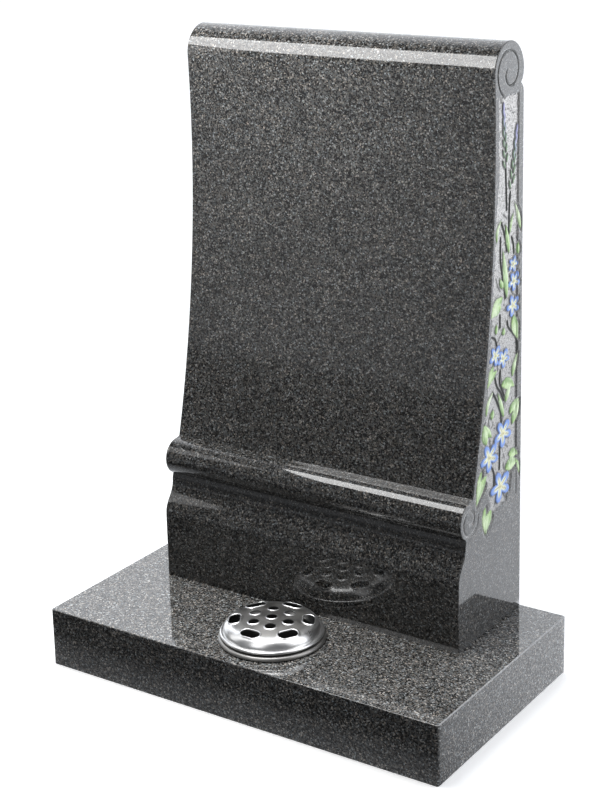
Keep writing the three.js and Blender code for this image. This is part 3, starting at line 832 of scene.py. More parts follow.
# Short dark strokes on the ground, painted shade of narrow cuts.
MARKS: tuple[tuple[Place, ...], ...] = (
    ((0.58, 0.723), (0.41, 0.709)),
    ((0.78, 0.573), (0.71, 0.553), (0.6, 0.538)),
    ((0.21, 0.532), (0.13, 0.517), (-0.05, 0.506)),
    ((0.5, 0.43), (0.58, 0.421), (0.65, 0.409)),
    ((0.59, 0.367), (0.57, 0.342)),
    ((0.48, 0.34), (0.43, 0.31), (0.34, 0.279)),
    ((0.34, 0.253), (0.34, 0.223), (0.36, 0.207)),
    ((0.74, 0.217), (0.74, 0.236), (0.68, 0.241)),
    ((0.69, 0.18), (0.65, 0.162)),
    ((0.42, 0.016), (0.45, 0.001)),
    ((0.26, 0.142), (0.18, 0.132)),
    ((0.3, 0.121), (0.26, 0.108)),
    ((0.29, 0.096), (0.27, 0.081)),
    ((0.28, 0.023), (0.23, 0.009)),
    ((0.73, 0.015), (0.72, -0.004), (0.67, -0.03)),
    ((0.24, 0.166), (0.17, 0.153)),
    ((0.54, 0.143), (0.5, 0.135)),
)


class Relief:
    """Carved work over a set of points: how far each is cut in, and how it is coloured."""

    def __init__(self, places: Array) -> None:
        """Starts level and bare.

        Args:
            places: Depth and height of each point, one row each.
        """
        self.places = places
        self.cut = np.zeros(len(places))
        self.pecked = np.zeros(len(places))
        # Darkening toward near-black: mostly painted shade, and the dark stone of the stems.
        self.dark = np.zeros(len(places))
        # Paint colours, which on the leaves carry painted light and shade too.
        self.paint = np.zeros((len(places), 3))
        self.cover = np.zeros(len(places))

    def near(self, line: Array, reach: float) -> Array:
        """Picks the points within reach of a line's bounding box, as a mask."""
        low, high = line.min(axis=0) - reach, line.max(axis=0) + reach
        return np.all((self.places >= low) & (self.places <= high), axis=1)

    def measure(self, line: Array, reach: float) -> tuple[Array, Array, Array, Array]:
        """Measures the nearby points against a line of closely set points.

        For each, the nearest line point gives a share of the line's run, moved on by the
        point's distance along the tangent, and a signed distance to the side.

        Args:
            line: Depth and height of the line's points.
            reach: How far from the line's box to look.

        Returns:
            The mask of points measured, and their share, side distance and straight distance.
        """
        mask = self.near(line, reach)
        tangent = np.gradient(line, axis=0)
        length = np.linalg.norm(tangent, axis=1)
        unit = tangent / length[:, None]
        offset = self.places[mask][:, None, :] - line[None]
        square = (offset ** 2).sum(axis=2)
        index = square.argmin(axis=1)
        close = offset[np.arange(len(index)), index]
        along = (close * unit[index]).sum(axis=1)
        side = close[:, 1] * unit[index, 0] - close[:, 0] * unit[index, 1]
        share = (index + along / length[index]) / (len(line) - 1)
        distance = np.sqrt(square[np.arange(len(index)), index])
        past = np.clip(-share, 0, None) + np.clip(share - 1, 0, None)
        distance = np.where(past > 0, distance, np.abs(side))
        return mask, share, side, distance

    def groove(self, line: Array, width: float, depth: float, shade: float, pale: float = 0.0) -> None:
        """Cuts a groove along a line, eased out at its sides.

        Args:
            line: Depth and height of the line's points.
            width: The groove's width.
            depth: How deep it is.
            shade: How much its bottom is darkened.
            pale: How much its bottom shows pecked stone.
        """
        mask, _, _, distance = self.measure(line, width)
        share = fade(distance, 0.15 * width, 0.6 * width)
        self.cut[mask] = np.maximum(self.cut[mask], depth * share)
        bottom = fade(distance, 0.1 * width, 0.5 * width)
        self.darken(mask, shade * bottom)
        self.pecked[mask] = np.maximum(self.pecked[mask], pale * bottom)

    def darken(self, mask: Array, shade: Array) -> None:
        """Darkens the points of a mask to at least a shade."""
        self.dark[mask] = np.maximum(self.dark[mask], shade)

    def stand(self, mask: Array, edge: Array, top: Array, wall: float) -> Array:
        """Leaves a form standing in what is cut away.

        Args:
            mask: The points that the form may reach.
            edge: Signed distance of each to the form's outline, negative inside.
            top: Depth of the form's surface below the polished face.
            wall: Width over which its side rises.

        Returns:
            How much of the form each point shows, from 0 to 1.
        """
        share = fade(edge, -wall, 0.25 * wall)
        self.cut[mask] = blend(self.cut[mask], top, share)
        self.pecked[mask] *= 1 - share
        self.dark[mask] *= 1 - share
        return share

    def colour(self, mask: Array, share: Array, paint: Array) -> None:
        """Lays paint, with its painted light and shade, over the points of a mask by a share."""
        self.paint[mask] = blend(self.paint[mask], paint, share[:, None])
        self.cover[mask] = np.maximum(self.cover[mask], share)


class Paint(Enum):
    """Paints on the carving."""

    # The two leaf greens are lit and shaded copies of one green; the leaf white serves for white streaks and
    # for painted highlights.
    LEAF_DEEP = (0.17, 0.34, 0.07)
    LEAF_LIGHT = (0.4, 0.62, 0.2)
    LEAF_WHITE = (0.78, 0.9, 0.62)
    PETAL_BLUE = (0.13, 0.27, 0.72)
    PETAL_PALE = (0.26, 0.42, 0.8)
    PETAL_CREAM = (0.84, 0.84, 0.56)
    HEART = (0.46, 0.38, 0.14)
    RIB = (0.16, 0.13, 0.06)
    SPRIG_GREEN = (0.26, 0.38, 0.24)
    SPRIG_LAVENDER = (0.38, 0.38, 0.64)

    def over(self, tone: Array, share: Array) -> Array:
        """Lays this paint over a tone by a share of it at each point."""
        return blend(tone, np.array(self.value), share[:, None])


@dataclass(frozen=True)
class FlowerCarving:
    """The sunk panel and the painted flowers on the stone's right end."""

    profile: StoneProfile
    head: float = 703.0
    foot: float = 168.0
    inset: float = 14.0
    sink: float = 2.4
    halo: float = 2.4
    drop: float = 0.3
    spread: float = 1.25
    stem_width: float = 0.005
    mark_width: float = 1.5
    floret_length: float = 0.026
    floret_width: float = 0.008
    floret_splay: float = 0.32
    floret_offset: float = 0.0026
    petals: int = 5
    petal_waist: float = 0.38
    petal_power: float = 0.9
    petal_cup: float = 0.9
    petal_fold: float = 0.7
    leaf_crown: float = 0.9
    vein: float = 0.35
    ridge_drop: float = 1.0
    wall: float = 0.8
    edge_cell: float = 3.1
    edge_swing: float = 3.2
    pit_cell: float = 1.9
    pit_depth: float = 0.5
    hollow_cell: float = 3.4
    least_pecked: float = 0.62
    pecked_span: Place = (320.0, 620.0)
    line_steps: int = 28
    stretch_steps: int = 12

    def spot(self, at: Place) -> Array:
        """A place on the panel: across from the border line to the face, and up from its foot.

        The carving is drawn with its depths divided by the spread, and so is stretched across.
        """
        height = self.foot + at[1] * (self.head - self.foot)
        depth = self.inset + at[0] * (self.profile.face_depth(height) - self.inset)
        return np.array([depth / self.spread, height])

    def carved(self, share: float) -> float:
        """A length on the carving, from its share of the panel's height."""
        return share * (self.head - self.foot)

    def leaf_line(self, leaf: Leaf) -> Array:
        """A leaf's bent middle line: the curve (1-t)^2 root + 2t(1-t) middle + t^2 tip."""
        root, tip = self.spot(leaf.root), self.spot(leaf.tip)
        along = tip - root
        middle = (root + tip) / 2 + np.array([-along[1], along[0]]) * leaf.bend
        t = np.linspace(0, 1, self.line_steps)[:, None]
        return (1 - t) ** 2 * root + 2 * t * (1 - t) * middle + t ** 2 * tip

    def stem_line(self, places: tuple[Place, ...]) -> Array:
        """A smooth run through places: each stretch is a cubic with its neighbours' slopes."""
        knots = np.array([self.spot(place) for place in places])
        padded = np.vstack([knots[:1], knots, knots[-1:]])
        t = np.linspace(0, 1, self.stretch_steps)[:-1, None]
        runs = []
        for p0, p1, p2, p3 in zip(padded, padded[1:], padded[2:], padded[3:]):
            v0, v1 = (p2 - p0) / 2, (p3 - p1) / 2
            runs.append((2 * p1 - 2 * p2 + v0 + v1) * t ** 3 + (3 * p2 - 3 * p1 - 2 * v0 - v1) * t ** 2
                        + v0 * t + p1)
        return np.vstack([*runs, knots[-1:]])

    def ground_edge(self, places: Array) -> Array:
        """Signed distance to the pecked ground's outline, negative inside.

        The distance to a polygon is the least distance to its sides; its sign comes from how
        often a level ray from the point crosses them.
        """
        corners = np.array([self.spot(place) for place in GROUND])
        following = np.roll(corners, -1, axis=0)
        least = np.full(len(places), np.inf)
        inside = np.zeros(len(places), bool)
        for a, b in zip(corners, following):
            side = b - a
            share = np.clip(((places - a) @ side) / (side @ side), 0, 1)[:, None]
            least = np.minimum(least, np.linalg.norm(places - a - share * side, axis=1))
            if a[1] != b[1]:
                crossing = a[0] + (places[:, 1] - a[1]) / (b[1] - a[1]) * (b[0] - a[0])
                inside ^= ((a[1] > places[:, 1]) != (b[1] > places[:, 1])) & (places[:, 0] < crossing)
        return np.where(inside, -least, least)

    def petal_field(self, relief: Relief, bloom: Bloom) -> tuple[Array, Array, Array, Array]:
        """Polar places about a bloom.

        A petal reaches R(w + (1 - w)|cos(5a / 2)|^p), for its waist w and power p.

        Returns:
            The mask of points near it, and their distance, angle wave and outline reach.
        """
        centre, radius = self.spot(bloom.at), self.carved(bloom.radius)
        mask = relief.near(centre[None], radius + self.halo + 1)
        offset = relief.places[mask] - centre
        distance = np.hypot(offset[:, 0], offset[:, 1])
        wave = np.abs(np.cos(self.petals * (np.arctan2(offset[:, 1], offset[:, 0]) - bloom.turn) / 2))
        reach = radius * (self.petal_waist + (1 - self.petal_waist) * wave ** self.petal_power)
        return mask, distance, wave, reach

    def sink_ground(self, relief: Relief) -> None:
        """Cuts the pecked ground and a margin round each leaf and bloom, with a ragged edge; the ground is
        paler towards the top, with patches of painted shade.
        """
        places = relief.places
        ragged = lattice_noise(places[:, 0], places[:, 1], self.edge_cell, Seed.EDGE) - 0.5
        edge = self.ground_edge(places) + self.edge_swing * ragged
        for leaf in LEAVES + BUDS:
            reach = self.carved(leaf.width) + self.halo
            mask, share, _, distance = relief.measure(self.leaf_line(leaf), reach)
            half = self.leaf_half(leaf, share)
            edge[mask] = np.minimum(edge[mask], distance - half - self.halo * 0.6)
        for bloom in BLOOMS:
            mask, distance, _, reach = self.petal_field(relief, bloom)
            edge[mask] = np.minimum(edge[mask], distance - reach - self.halo * 0.6)
        share = fade(edge, -1.0, 0.8)
        pits = lattice_noise(places[:, 0], places[:, 1], self.pit_cell, Seed.PITS)
        relief.cut = share * (self.sink - self.pit_depth * pits)
        # Paler towards the top: the pecked share runs from least_pecked at the foot of the span to full at
        # its head.
        fresh = blend(self.least_pecked, 1.0, smoothstep(places[:, 1], *self.pecked_span))
        relief.pecked = share * fresh * smoothstep(pits + 0.35, 0.1, 0.6)
        # Painted shade: near-black patches in the pecked ground, for shade in its hollows.
        hollows = lattice_noise(places[:, 0] * 1.4, places[:, 1], self.hollow_cell, Seed.HOLLOWS)
        relief.dark = share * 0.75 * smoothstep(hollows, 0.76, 0.88)

    def leaf_half(self, leaf: Leaf, share: Array) -> Array:
        """Half a leaf's width at a share of its length: w/2 * sin(pi * t^0.8)."""
        return self.carved(leaf.width) / 2 * np.sin(math.pi * np.clip(share, 0, 1) ** 0.8)

    def lay_stem(self, relief: Relief, places: tuple[Place, ...]) -> None:
        """Leaves a stem as a low ridge, darkened over it as dark stone and along its sides as painted shade.
        """
        width = self.carved(self.stem_width)
        mask, _, _, distance = relief.measure(self.stem_line(places), 3 * width)
        relief.stand(mask, distance - width / 2, np.full(mask.sum(), self.ridge_drop), self.wall)
        # Partly the dark stone of the ridge, partly painted shade along its sides.
        line = fade(distance, 0.5 * width, 0.95 * width)
        relief.darken(mask, 0.95 * line)

    def lay_mark(self, relief: Relief, places: tuple[Place, ...]) -> None:
        """Paints a short dark stroke on the ground, painted shade standing for a narrow cut; nothing is cut.
        """
        mask, _, _, distance = relief.measure(self.stem_line(places), 3 * self.mark_width)
        line = fade(distance, 0.5 * self.mark_width, 1.2 * self.mark_width)
        relief.darken(mask, 0.8 * line)

    def lay_leaf(self, relief: Relief, leaf: Leaf) -> None:
        """Leaves a leaf standing: crowned, with a vein, one half painted as lit and the other as shaded, with
        a painted highlight along the lit half and towards its tip.
        """
        mask, share, side, distance = relief.measure(self.leaf_line(leaf), self.carved(leaf.width) + 2)
        half = self.leaf_half(leaf, share)
        across = side / np.maximum(half, 0.3)
        crown = self.drop + self.leaf_crown * np.clip(across, -1, 1) ** 2
        crown += self.vein * np.exp(-(across / 0.16) ** 2)
        edge = distance - half
        # Painted shadow: a dark line just outside the leaf's outline on one side.
        rim = smoothstep(edge, -0.3, 0.5) * fade(edge, 0.9, 1.7) * (side > 0)
        relief.darken(mask, 0.7 * rim)
        shown = relief.stand(mask, edge, crown, 0.9)
        # Painted light and shade: the lit half takes the lit green, the other half the shaded green.
        lit = smoothstep(across, -0.35, 0.35)
        tone = Paint.LEAF_LIGHT.over(np.array(Paint.LEAF_DEEP.value), lit)
        spot = relief.places[mask]
        streak = smoothstep(lattice_noise(spot[:, 0], spot[:, 1] * 0.5, 1.8, Seed.STREAKS), 0.55, 0.85)
        tone = Paint.LEAF_WHITE.over(tone, 0.45 * streak)
        # Painted highlight: whiter towards the tip by the pale share, and along the middle of the lit half.
        bleach = leaf.pale * smoothstep(share, 0.1, 0.65)
        bleach += 0.35 * np.exp(-((share - 0.5) / 0.2) ** 2) * lit
        tone = Paint.LEAF_WHITE.over(tone, np.clip(bleach, 0, 1))
        relief.colour(mask, smoothstep(shown, 0.25, 0.75), tone)

    def lay_bloom(self, relief: Relief, bloom: Bloom) -> None:
        """Leaves a bloom standing: five cupped petals, blue at the rim and yellow at the heart, with a ring
        of painted shade round its foot.
        """
        mask, distance, wave, reach = self.petal_field(relief, bloom)
        radius = self.carved(bloom.radius)
        out = distance / reach
        edge = distance - reach
        cup = self.drop + self.petal_cup * fade(out, 0.1, 0.75)
        cup += self.petal_fold * smoothstep(1 - wave, 0.5, 1.0)
        cup = blend(cup, 0.1, fade(distance, 0.1 * radius, 0.18 * radius))
        # Painted shade: a dark ring just outside the petals' outline.
        relief.darken(mask, 0.55 * smoothstep(edge, -0.2, 0.5) * fade(edge, 1.0, 2.0))
        shown = relief.stand(mask, edge, cup, self.wall)
        star = radius * (0.23 + 0.43 * wave ** 2.1)
        rib = smoothstep(wave, 0.97, 0.997) * smoothstep(out, 0.1, 0.2) * fade(out, 0.55, 0.75)
        tone = Paint.PETAL_PALE.over(np.array(Paint.PETAL_BLUE.value), fade(out, 0.55, 0.85))
        tone = Paint.PETAL_CREAM.over(tone, fade(distance, 0.8 * star, 1.15 * star))
        tone = Paint.HEART.over(tone, fade(distance, 0.04 * radius, 0.12 * radius))
        tone = Paint.RIB.over(tone, 0.8 * rib)
        relief.colour(mask, smoothstep(shown, 0.3, 0.8), tone)

    def lay_sprig(self, relief: Relief, sprig: Sprig) -> None:
        """Leaves a sprig of florets standing, green below and lavender above, with a painted shadow along one
        side of each floret.
        """
        root, tip = self.spot(sprig.root), self.spot(sprig.tip)
        along = tip - root
        unit = along / np.linalg.norm(along)
        beside = np.array([-unit[1], unit[0]])
        length, half = self.carved(self.floret_length), self.carved(self.floret_width) / 2
        green = np.array(Paint.SPRIG_GREEN.value)
        for number in range(sprig.florets):
            up = number / sprig.florets
            way = 1 if number % 2 else -1
            turn = way * self.floret_splay * (1 - up)
            heading = unit * math.cos(turn) + beside * math.sin(turn)
            start = root + along * up + way * self.carved(self.floret_offset) * (1 - up) * beside
            line = start + heading * np.linspace(0, length, self.line_steps)[:, None]
            mask, share, side, distance = relief.measure(line, 3)
            width = half * np.sin(math.pi * np.clip(share, 0, 1))
            edge = distance - width
            # Painted shadow: a dark line just outside each floret on one side.
            rim = fade(edge, 0.7, 1.5) * smoothstep(-side, 0.1, 0.7)
            relief.darken(mask, 0.85 * rim)
            shown = relief.stand(mask, edge, self.drop + 0.6 * (side / half) ** 2, self.wall)
            tone = Paint.SPRIG_LAVENDER.over(green, smoothstep(up + 0.35 * side / half, 0.3, 0.8))
            relief.colour(mask, smoothstep(shown, 0.3, 0.8), tone)

    def carve(self, relief: Relief) -> None:
        """Carves the whole panel, from its ground up to the blooms."""
        self.sink_ground(relief)
        for places in MARKS:
            self.lay_mark(relief, places)
        for places in STEMS:
            self.lay_stem(relief, places)
        for sprig in SPRIGS:
            self.lay_sprig(relief, sprig)
        for leaf in LEAVES + BUDS:
            self.lay_leaf(relief, leaf)
        for bloom in BLOOMS:
            self.lay_bloom(relief, bloom)


@dataclass(frozen=True)
class Headstone:
    """The scroll-shaped stone, with scroll lines on both ends and its carving on the right."""

    profile: StoneProfile
    carving: FlowerCarving
    base: BaseSlab
    width: float = 472.0
    arris: float = 1.2
    groove_width: float = 2.8
    groove_depth: float = 1.5
    border_width: float = 1.7
    border_depth: float = 2.6
    border_shade: float = 0.6
    roll_shade: float = 0.9
    bead_pale: float = 0.45
    roll_start: float = -77.0
    bead_start: float = -180.0
    scroll_sweep: float = 460.0
    scroll_outer: float = 0.84
    scroll_inner: float = 0.2
    scroll_tightening: float = 1.5
    line_points: int = 220
    border_points: int = 400
    middle: float = 120.0
    least_span: float = 36.0
    fine_span: float = 20.4
    fine_columns: int = 24
    carved_columns: int = 152
    plain_columns: int = 34
    support: float = 0.4

    def scroll_line(self, centre: Place, radius: float, start: float) -> Array:
        """A line that winds in: its reach goes from outer to inner with the power s^tightening."""
        share = np.linspace(0, 1, self.line_points)
        reach = radius * blend(self.scroll_outer, self.scroll_inner, share ** self.scroll_tightening)
        angle = np.radians(start + self.scroll_sweep * share)
        return np.stack([centre[0] + reach * np.cos(angle), centre[1] + reach * np.sin(angle)], axis=1)

    def cut_lines(self, relief: Relief, border_depth: float) -> None:
        """Cuts the scroll lines and the border line."""
        profile, carving = self.profile, self.carving
        roll = self.scroll_line(profile.roll, profile.roll_radius, self.roll_start)
        bead = self.scroll_line(profile.bead, profile.bead_radius, self.bead_start)
        heights = np.linspace(carving.head, carving.foot, self.border_points)
        border = np.column_stack([np.full(len(heights), carving.inset), heights])
        relief.groove(roll, self.groove_width, self.groove_depth, self.roll_shade)
        # The bead's scroll line is left pale: pecked stone, and a painted highlight along it.
        relief.groove(bead, self.groove_width, self.groove_depth, 0.0, self.bead_pale)
        relief.groove(border, self.border_width, border_depth, self.border_shade)

    def cap(self, back: Array, front: Array, columns: int, fine: bool) -> Array:
        """Fills one end with rows that run straight from the back's edge to the front's.

        Args:
            back: Depth and height of the back edge, by row.
            front: Depth and height of the front edge, by row.
            columns: How many columns there are.
            fine: Whether the columns are set closer behind the border line.

        Returns:
            Depth and height by row and column.
        """
        span = np.linalg.norm(front - back, axis=1)
        drawn = np.maximum(span, self.least_span)[:, None]
        if fine:
            near = np.linspace(self.support, self.fine_span, self.fine_columns)[None]
            far = np.linspace(0, 1, columns - self.fine_columns)[None, 1:]
            rest = self.fine_span + (drawn - self.support - self.fine_span) * far
            run = np.hstack([np.broadcast_to(near, (len(span), near.shape[1])), rest])
        else:
            even = np.linspace(0, 1, columns)[None]
            run = self.support + (drawn - 2 * self.support) * even
        run = np.hstack([np.zeros_like(drawn), run, drawn])
        share = (run / drawn)[..., None]
        return back[:, None] + (front - back)[:, None] * share

    def build(self, finish: PolishedGranite) -> bpy.types.Object:
        """Builds the stone as one grid of rows that run round it, each at its own height.

        A row goes along the front, round an arris, across the right end from front to back,
        round an arris, along the back, and so on over the left end. Along an arris the outline
        moves in by a(1 - cos t) while the end is reached along a * sin t.

        Args:
            finish: The stone's finish.

        Returns:
            The stone.
        """
        front, back = self.profile.rows()
        front_normal = self.profile.outward(front, 1.0)
        back_normal = self.profile.outward(back, -1.0)
        half = self.width / 2
        flat = half - self.arris
        near = np.array([flat, flat - self.support, self.middle])
        along = np.array([*-near, 0.0, *near[::-1]])
        turn = np.radians(np.linspace(0, 90, ARRIS_STEPS))[1:]
        sections, masks, paints = [], [], []

        def put(x: Array, outline: Array, relief: Relief | None = None) -> None:
            """Adds columns at places across the stone, with their outline points."""
            shape = outline.shape[:2]
            across = np.broadcast_to(x, shape)
            sections.append(np.stack(
                [across, self.base.depth / 2 - outline[..., 0], self.base.height + outline[..., 1]], axis=-1))
            mask, paint = np.zeros((*shape, 4)), np.zeros((*shape, 4))
            if relief is not None:
                mask[..., 0] = relief.pecked.reshape(shape)
                mask[..., 1] = relief.dark.reshape(shape)
                paint[..., :3] = relief.paint.reshape((*shape, 3))
                paint[..., 3] = relief.cover.reshape(shape)
            masks.append(mask)
            paints.append(paint)

        def arris(outline: Array, normal: Array, side: float, angles: Array) -> None:
            """Adds the columns of one rounded arris."""
            inset = self.arris * (1 - np.cos(angles))
            x = side * (flat + self.arris * np.sin(angles))
            put(x[None], outline[:, None] - normal[:, None] * inset[None, :, None])

        def end(side: float, columns: int, border_depth: float) -> None:
            """Adds one carved end, from its front edge to its back edge for the right."""
            fine = side > 0
            inner_back, inner_front = back - back_normal * self.arris, front - front_normal * self.arris
            edges = self.cap(inner_back, inner_front, columns, fine)
            places = edges.reshape(-1, 2)
            relief = Relief(places)
            if fine:
                relief.places = places / (self.carving.spread, 1.0)
                self.carving.carve(relief)
                relief.places = places
            self.cut_lines(relief, border_depth)
            x = side * (half - relief.cut.reshape(edges.shape[:2]))
            order = slice(None, None, -1) if fine else slice(None)
            for name in ("pecked", "dark", "cover", "cut"):
                value = getattr(relief, name).reshape(edges.shape[:2])[:, order]
                setattr(relief, name, value.ravel())
            relief.paint = relief.paint.reshape((*edges.shape[:2], 3))[:, order].reshape(-1, 3)
            put(x[:, order], edges[:, order], relief)

        put(along[None], np.repeat(front[:, None], len(along), axis=1))
        arris(front, front_normal, 1.0, turn[:-1])
        end(1.0, self.carved_columns, self.border_depth)
        arris(back, back_normal, 1.0, turn[:-1][::-1])
        put(along[None, ::-1], np.repeat(back[:, None], len(along), axis=1))
        arris(back, back_normal, -1.0, turn[:-1])
        end(-1.0, self.plain_columns, self.groove_depth)
        arris(front, front_normal, -1.0, turn[:-1][::-1])

        points = np.concatenate(sections, axis=1)
        surface = Surface()
        surface.grid(points, closed_rows=False, closed_columns=True,
                     carve_mask=np.concatenate(masks, axis=1), carve_paint=np.concatenate(paints, axis=1))
        surface.faces.append(list(range(points.shape[1]))[::-1])
        return surface.make(Piece.STONE, finish.material("polished_granite_stone"), crease=None)


@dataclass(frozen=True)
class FlowerPot:
    """The spun pot with its rolled flange; height 0 is the top of the base."""

    centre: Place = (5.0, -85.0)
    base_top: float = 82.0
    radius: float = 60.0
    wall: float = 1.5
    depth: float = 71.0
    base_round: float = 8.0
    flange_radius: float = 71.5
    flange: float = 6.5
    sides: int = 144
    flange_tarnish: float = 0.45
    inner_tarnish: float = 0.9

    def build(self, finish: SpunAluminium) -> bpy.types.Object:
        """Turns the pot's closed section: up the outside, round the flange and down the inside."""
        inner, roll = self.radius - self.wall, self.flange / 2
        corner = (self.radius - self.base_round, self.base_round - self.depth)
        section = np.vstack([
            [(0.0, -self.depth)],
            arc(corner, self.base_round, -90, 0, 10),
            [(self.radius, -20.0), (self.radius, -0.5), (self.radius, 0.0), (self.radius + 0.5, 0.0)],
            arc((self.flange_radius - roll, roll), roll, -90, 90, 16),
            [(inner + 0.6, self.flange), (inner, self.flange - 0.6)],
            arc(corner, self.base_round - self.wall, 0, -90, 10),
            [(0.0, self.wall - self.depth)],
        ])
        points = lathe(section, self.sides) + np.array([*self.centre, self.base_top])
        # Painted shade: the pot's inside and its side below the base's top are darkened strongly; the flange
        # above is darkened by less.
        dull = np.where(section[:, 1] > 0, self.flange_tarnish, self.inner_tarnish)
        tarnish = np.broadcast_to(dull, points.shape[:2])[..., None]
        surface = Surface()
        surface.grid(points, closed_rows=True, closed_columns=False, polish=0.0 * tarnish, tarnish=tarnish)
        return surface.make(Piece.POT, finish.material("spun_aluminium_pot"), crease=40.0)


@dataclass(frozen=True)
class Opening:
    """A round-ended opening in the lid: its middle, half its straight run and its end radius."""

    distance: float
    angle: float
    run: float
    radius: float
    half_steps: int = 24
    run_steps: int = 5

    def middle(self) -> Array:
        """Middle of the opening on the lid."""
        return self.distance * np.array([math.cos(self.angle), math.sin(self.angle)])

    def outline(self, grow: float) -> Array:
        """Points round the opening: two half circles of its radius + grow, a straight run apart."""
        turn = np.linspace(0, math.pi, self.half_steps + 1)[:, None]
        reach = self.radius + grow
        half = np.hstack([reach * np.cos(turn), reach * np.sin(turn) + self.run])[: None if self.run else -1]
        if self.run:
            down = np.linspace(self.run, -self.run, self.run_steps + 2)[1:-1]
            half = np.vstack([half, np.column_stack([np.full(self.run_steps, -reach), down])])
        c, s = math.cos(self.angle), math.sin(self.angle)
        return np.vstack([half, -half]) @ np.array([[c, s], [-s, c]]) + self.middle()

    def away(self, places: Array) -> Array:
        """Distance outside the opening's edge: |offset to its middle run| - radius."""
        c, s = math.cos(self.angle), math.sin(self.angle)
        local = (places - self.middle()) @ np.array([[c, -s], [s, c]])
        return np.hypot(local[:, 0], np.maximum(np.abs(local[:, 1]) - self.run, 0)) - self.radius


@dataclass(frozen=True)
class PiercedLid:
    """The spun lid: a dome with a ring of holes, slots at its shoulder, a rim and a skirt."""

    pot: FlowerPot
    rim_radius: float = 69.0
    wall: float = 1.6
    rise: float = 24.0
    dome_radius: float = 330.0
    shoulder_radius: float = 13.0
    clearance: float = 1.0
    drop: float = 7.0
    hole_radius: float = 7.2
    hole_circle: float = 26.3
    holes: int = 6
    slot_radius: float = 7.5
    slot_length: float = 27.2
    slot_circle: float = 49.0
    plate_radius: float = 59.5
    hole_lip: float = 0.7
    slot_lip: float = 1.0
    lip_width: float = 1.8
    lip_crest: float = 0.8
    rings: tuple[float, ...] = (0.0, 0.12, 0.3, 0.55, 0.85, 1.2, 1.6, 2.1)
    spacing: float = 2.3
    # How dark the lid's under sides are painted, as shade.
    dull: float = 0.9
    under_points: int = 15
    polish_from: Place = (48.0, 54.0)
    polish_to: Place = (1.4, 2.2)

    @property
    def roll(self) -> float:
        """Radius of the rim's roll."""
        return (self.rim_radius - self.pot.radius) / 4

    def shoulder(self) -> tuple[Place, float]:
        """Centre of the shoulder's arc, and the angle from upright where it meets the dome."""
        radius = self.rim_radius - 2 * self.roll - self.shoulder_radius
        reach = self.dome_radius - self.shoulder_radius
        tilt = math.asin(radius / reach)
        return (radius, self.rise - self.dome_radius + reach * math.cos(tilt)), tilt

    def height(self, radius: Array, under: float) -> Array:
        """Height of the plate: the dome's arc, then the shoulder's, each moved in by under."""
        (middle, level), tilt = self.shoulder()
        dome = self.rise - self.dome_radius + np.sqrt((self.dome_radius - under) ** 2 - radius ** 2)
        bend = (self.shoulder_radius - under) ** 2 - np.clip(radius - middle, 0, None) ** 2
        round_part = level + np.sqrt(np.clip(bend, 0, None))
        meet = middle + (self.shoulder_radius - under) * math.sin(tilt)
        return np.where(radius < meet, dome, round_part)

    def openings(self) -> tuple[Opening, ...]:
        """The middle hole, the ring of holes and the slots between them."""
        sector = 2 * math.pi / self.holes
        ring = [Opening(self.hole_circle, i * sector, 0.0, self.hole_radius) for i in range(self.holes)]
        run = self.slot_length / 2 - self.slot_radius
        turns = [(i + 0.5) * sector for i in range(self.holes)]
        slots = [Opening(self.slot_circle, turn, run, self.slot_radius) for turn in turns]
        return (Opening(0.0, 0.0, 0.0, self.hole_radius), *ring, *slots)

    def away(self, plan: Array) -> Array:
        """Distance of plan points from the nearest opening's edge."""
        return np.min([opening.away(plan) for opening in self.openings()], axis=0)

    def lip(self, plan: Array) -> Array:
        """Height of the metal drawn up round the openings.

        Round a hole it is h(1 - d / w)^1.6 at distance d; round a slot it is a rolled bead,
        h(1 - u^2)^2 for u = (d - crest) / (w - crest / 2).
        """
        away = [opening.away(plan) for opening in self.openings()]
        hole, slot = np.min(away[: self.holes + 1], axis=0), np.min(away[self.holes + 1:], axis=0)
        drawn = self.hole_lip * np.clip(1 - hole / self.lip_width, 0, 1) ** 1.6
        u = np.clip((slot - self.lip_crest) / (self.lip_width - self.lip_crest / 2), -1, 1)
        return drawn + self.slot_lip * (1 - u * u) ** 2

    def plate(self) -> tuple[Array, Array, Array]:
        """Triangulates the pierced plate in plan.

        Rings about each opening and an even scatter between them are joined by a constrained
        Delaunay triangulation; triangles inside an opening are dropped.

        Returns:
            Plan points, triangles, and each point's distance from the nearest opening's edge.
        """
        points, edges, count = [], [], 0
        for opening in self.openings():
            for grow in self.rings:
                ring = opening.outline(grow)
                points.append(ring)
                if grow == 0.0:
                    index = count + np.arange(len(ring))
                    edges += list(zip(index.tolist(), np.roll(index, -1).tolist()))
                count += len(ring)
        angle = 2 * math.pi / self.pot.sides * np.arange(self.pot.sides)
        points.append(self.plate_radius * np.stack([np.cos(angle), np.sin(angle)], axis=1))
        steps = int(self.plate_radius / self.spacing) + 1
        row, column = np.mgrid[-steps:steps + 1, -steps:steps + 1]
        scatter = np.stack([(column + 0.5 * (row % 2)).ravel(), (row * math.sqrt(0.75)).ravel()], axis=1)
        scatter *= self.spacing
        clear = self.away(scatter) > self.rings[-1] + 0.5 * self.spacing
        inside = np.hypot(scatter[:, 0], scatter[:, 1]) < self.plate_radius - 0.6 * self.spacing
        points.append(scatter[clear & inside])
        flat = [Vector(point) for point in np.vstack(points).tolist()]
        found = delaunay_2d_cdt(flat, edges, [], 0, 1e-6)
        plan = np.array([tuple(point) for point in found[0]])
        faces = np.array([face for face in found[2] if len(face) == 3])
        kept = self.away(plan[faces].mean(axis=1)) > 0
        return plan, faces[kept], self.away(plan)

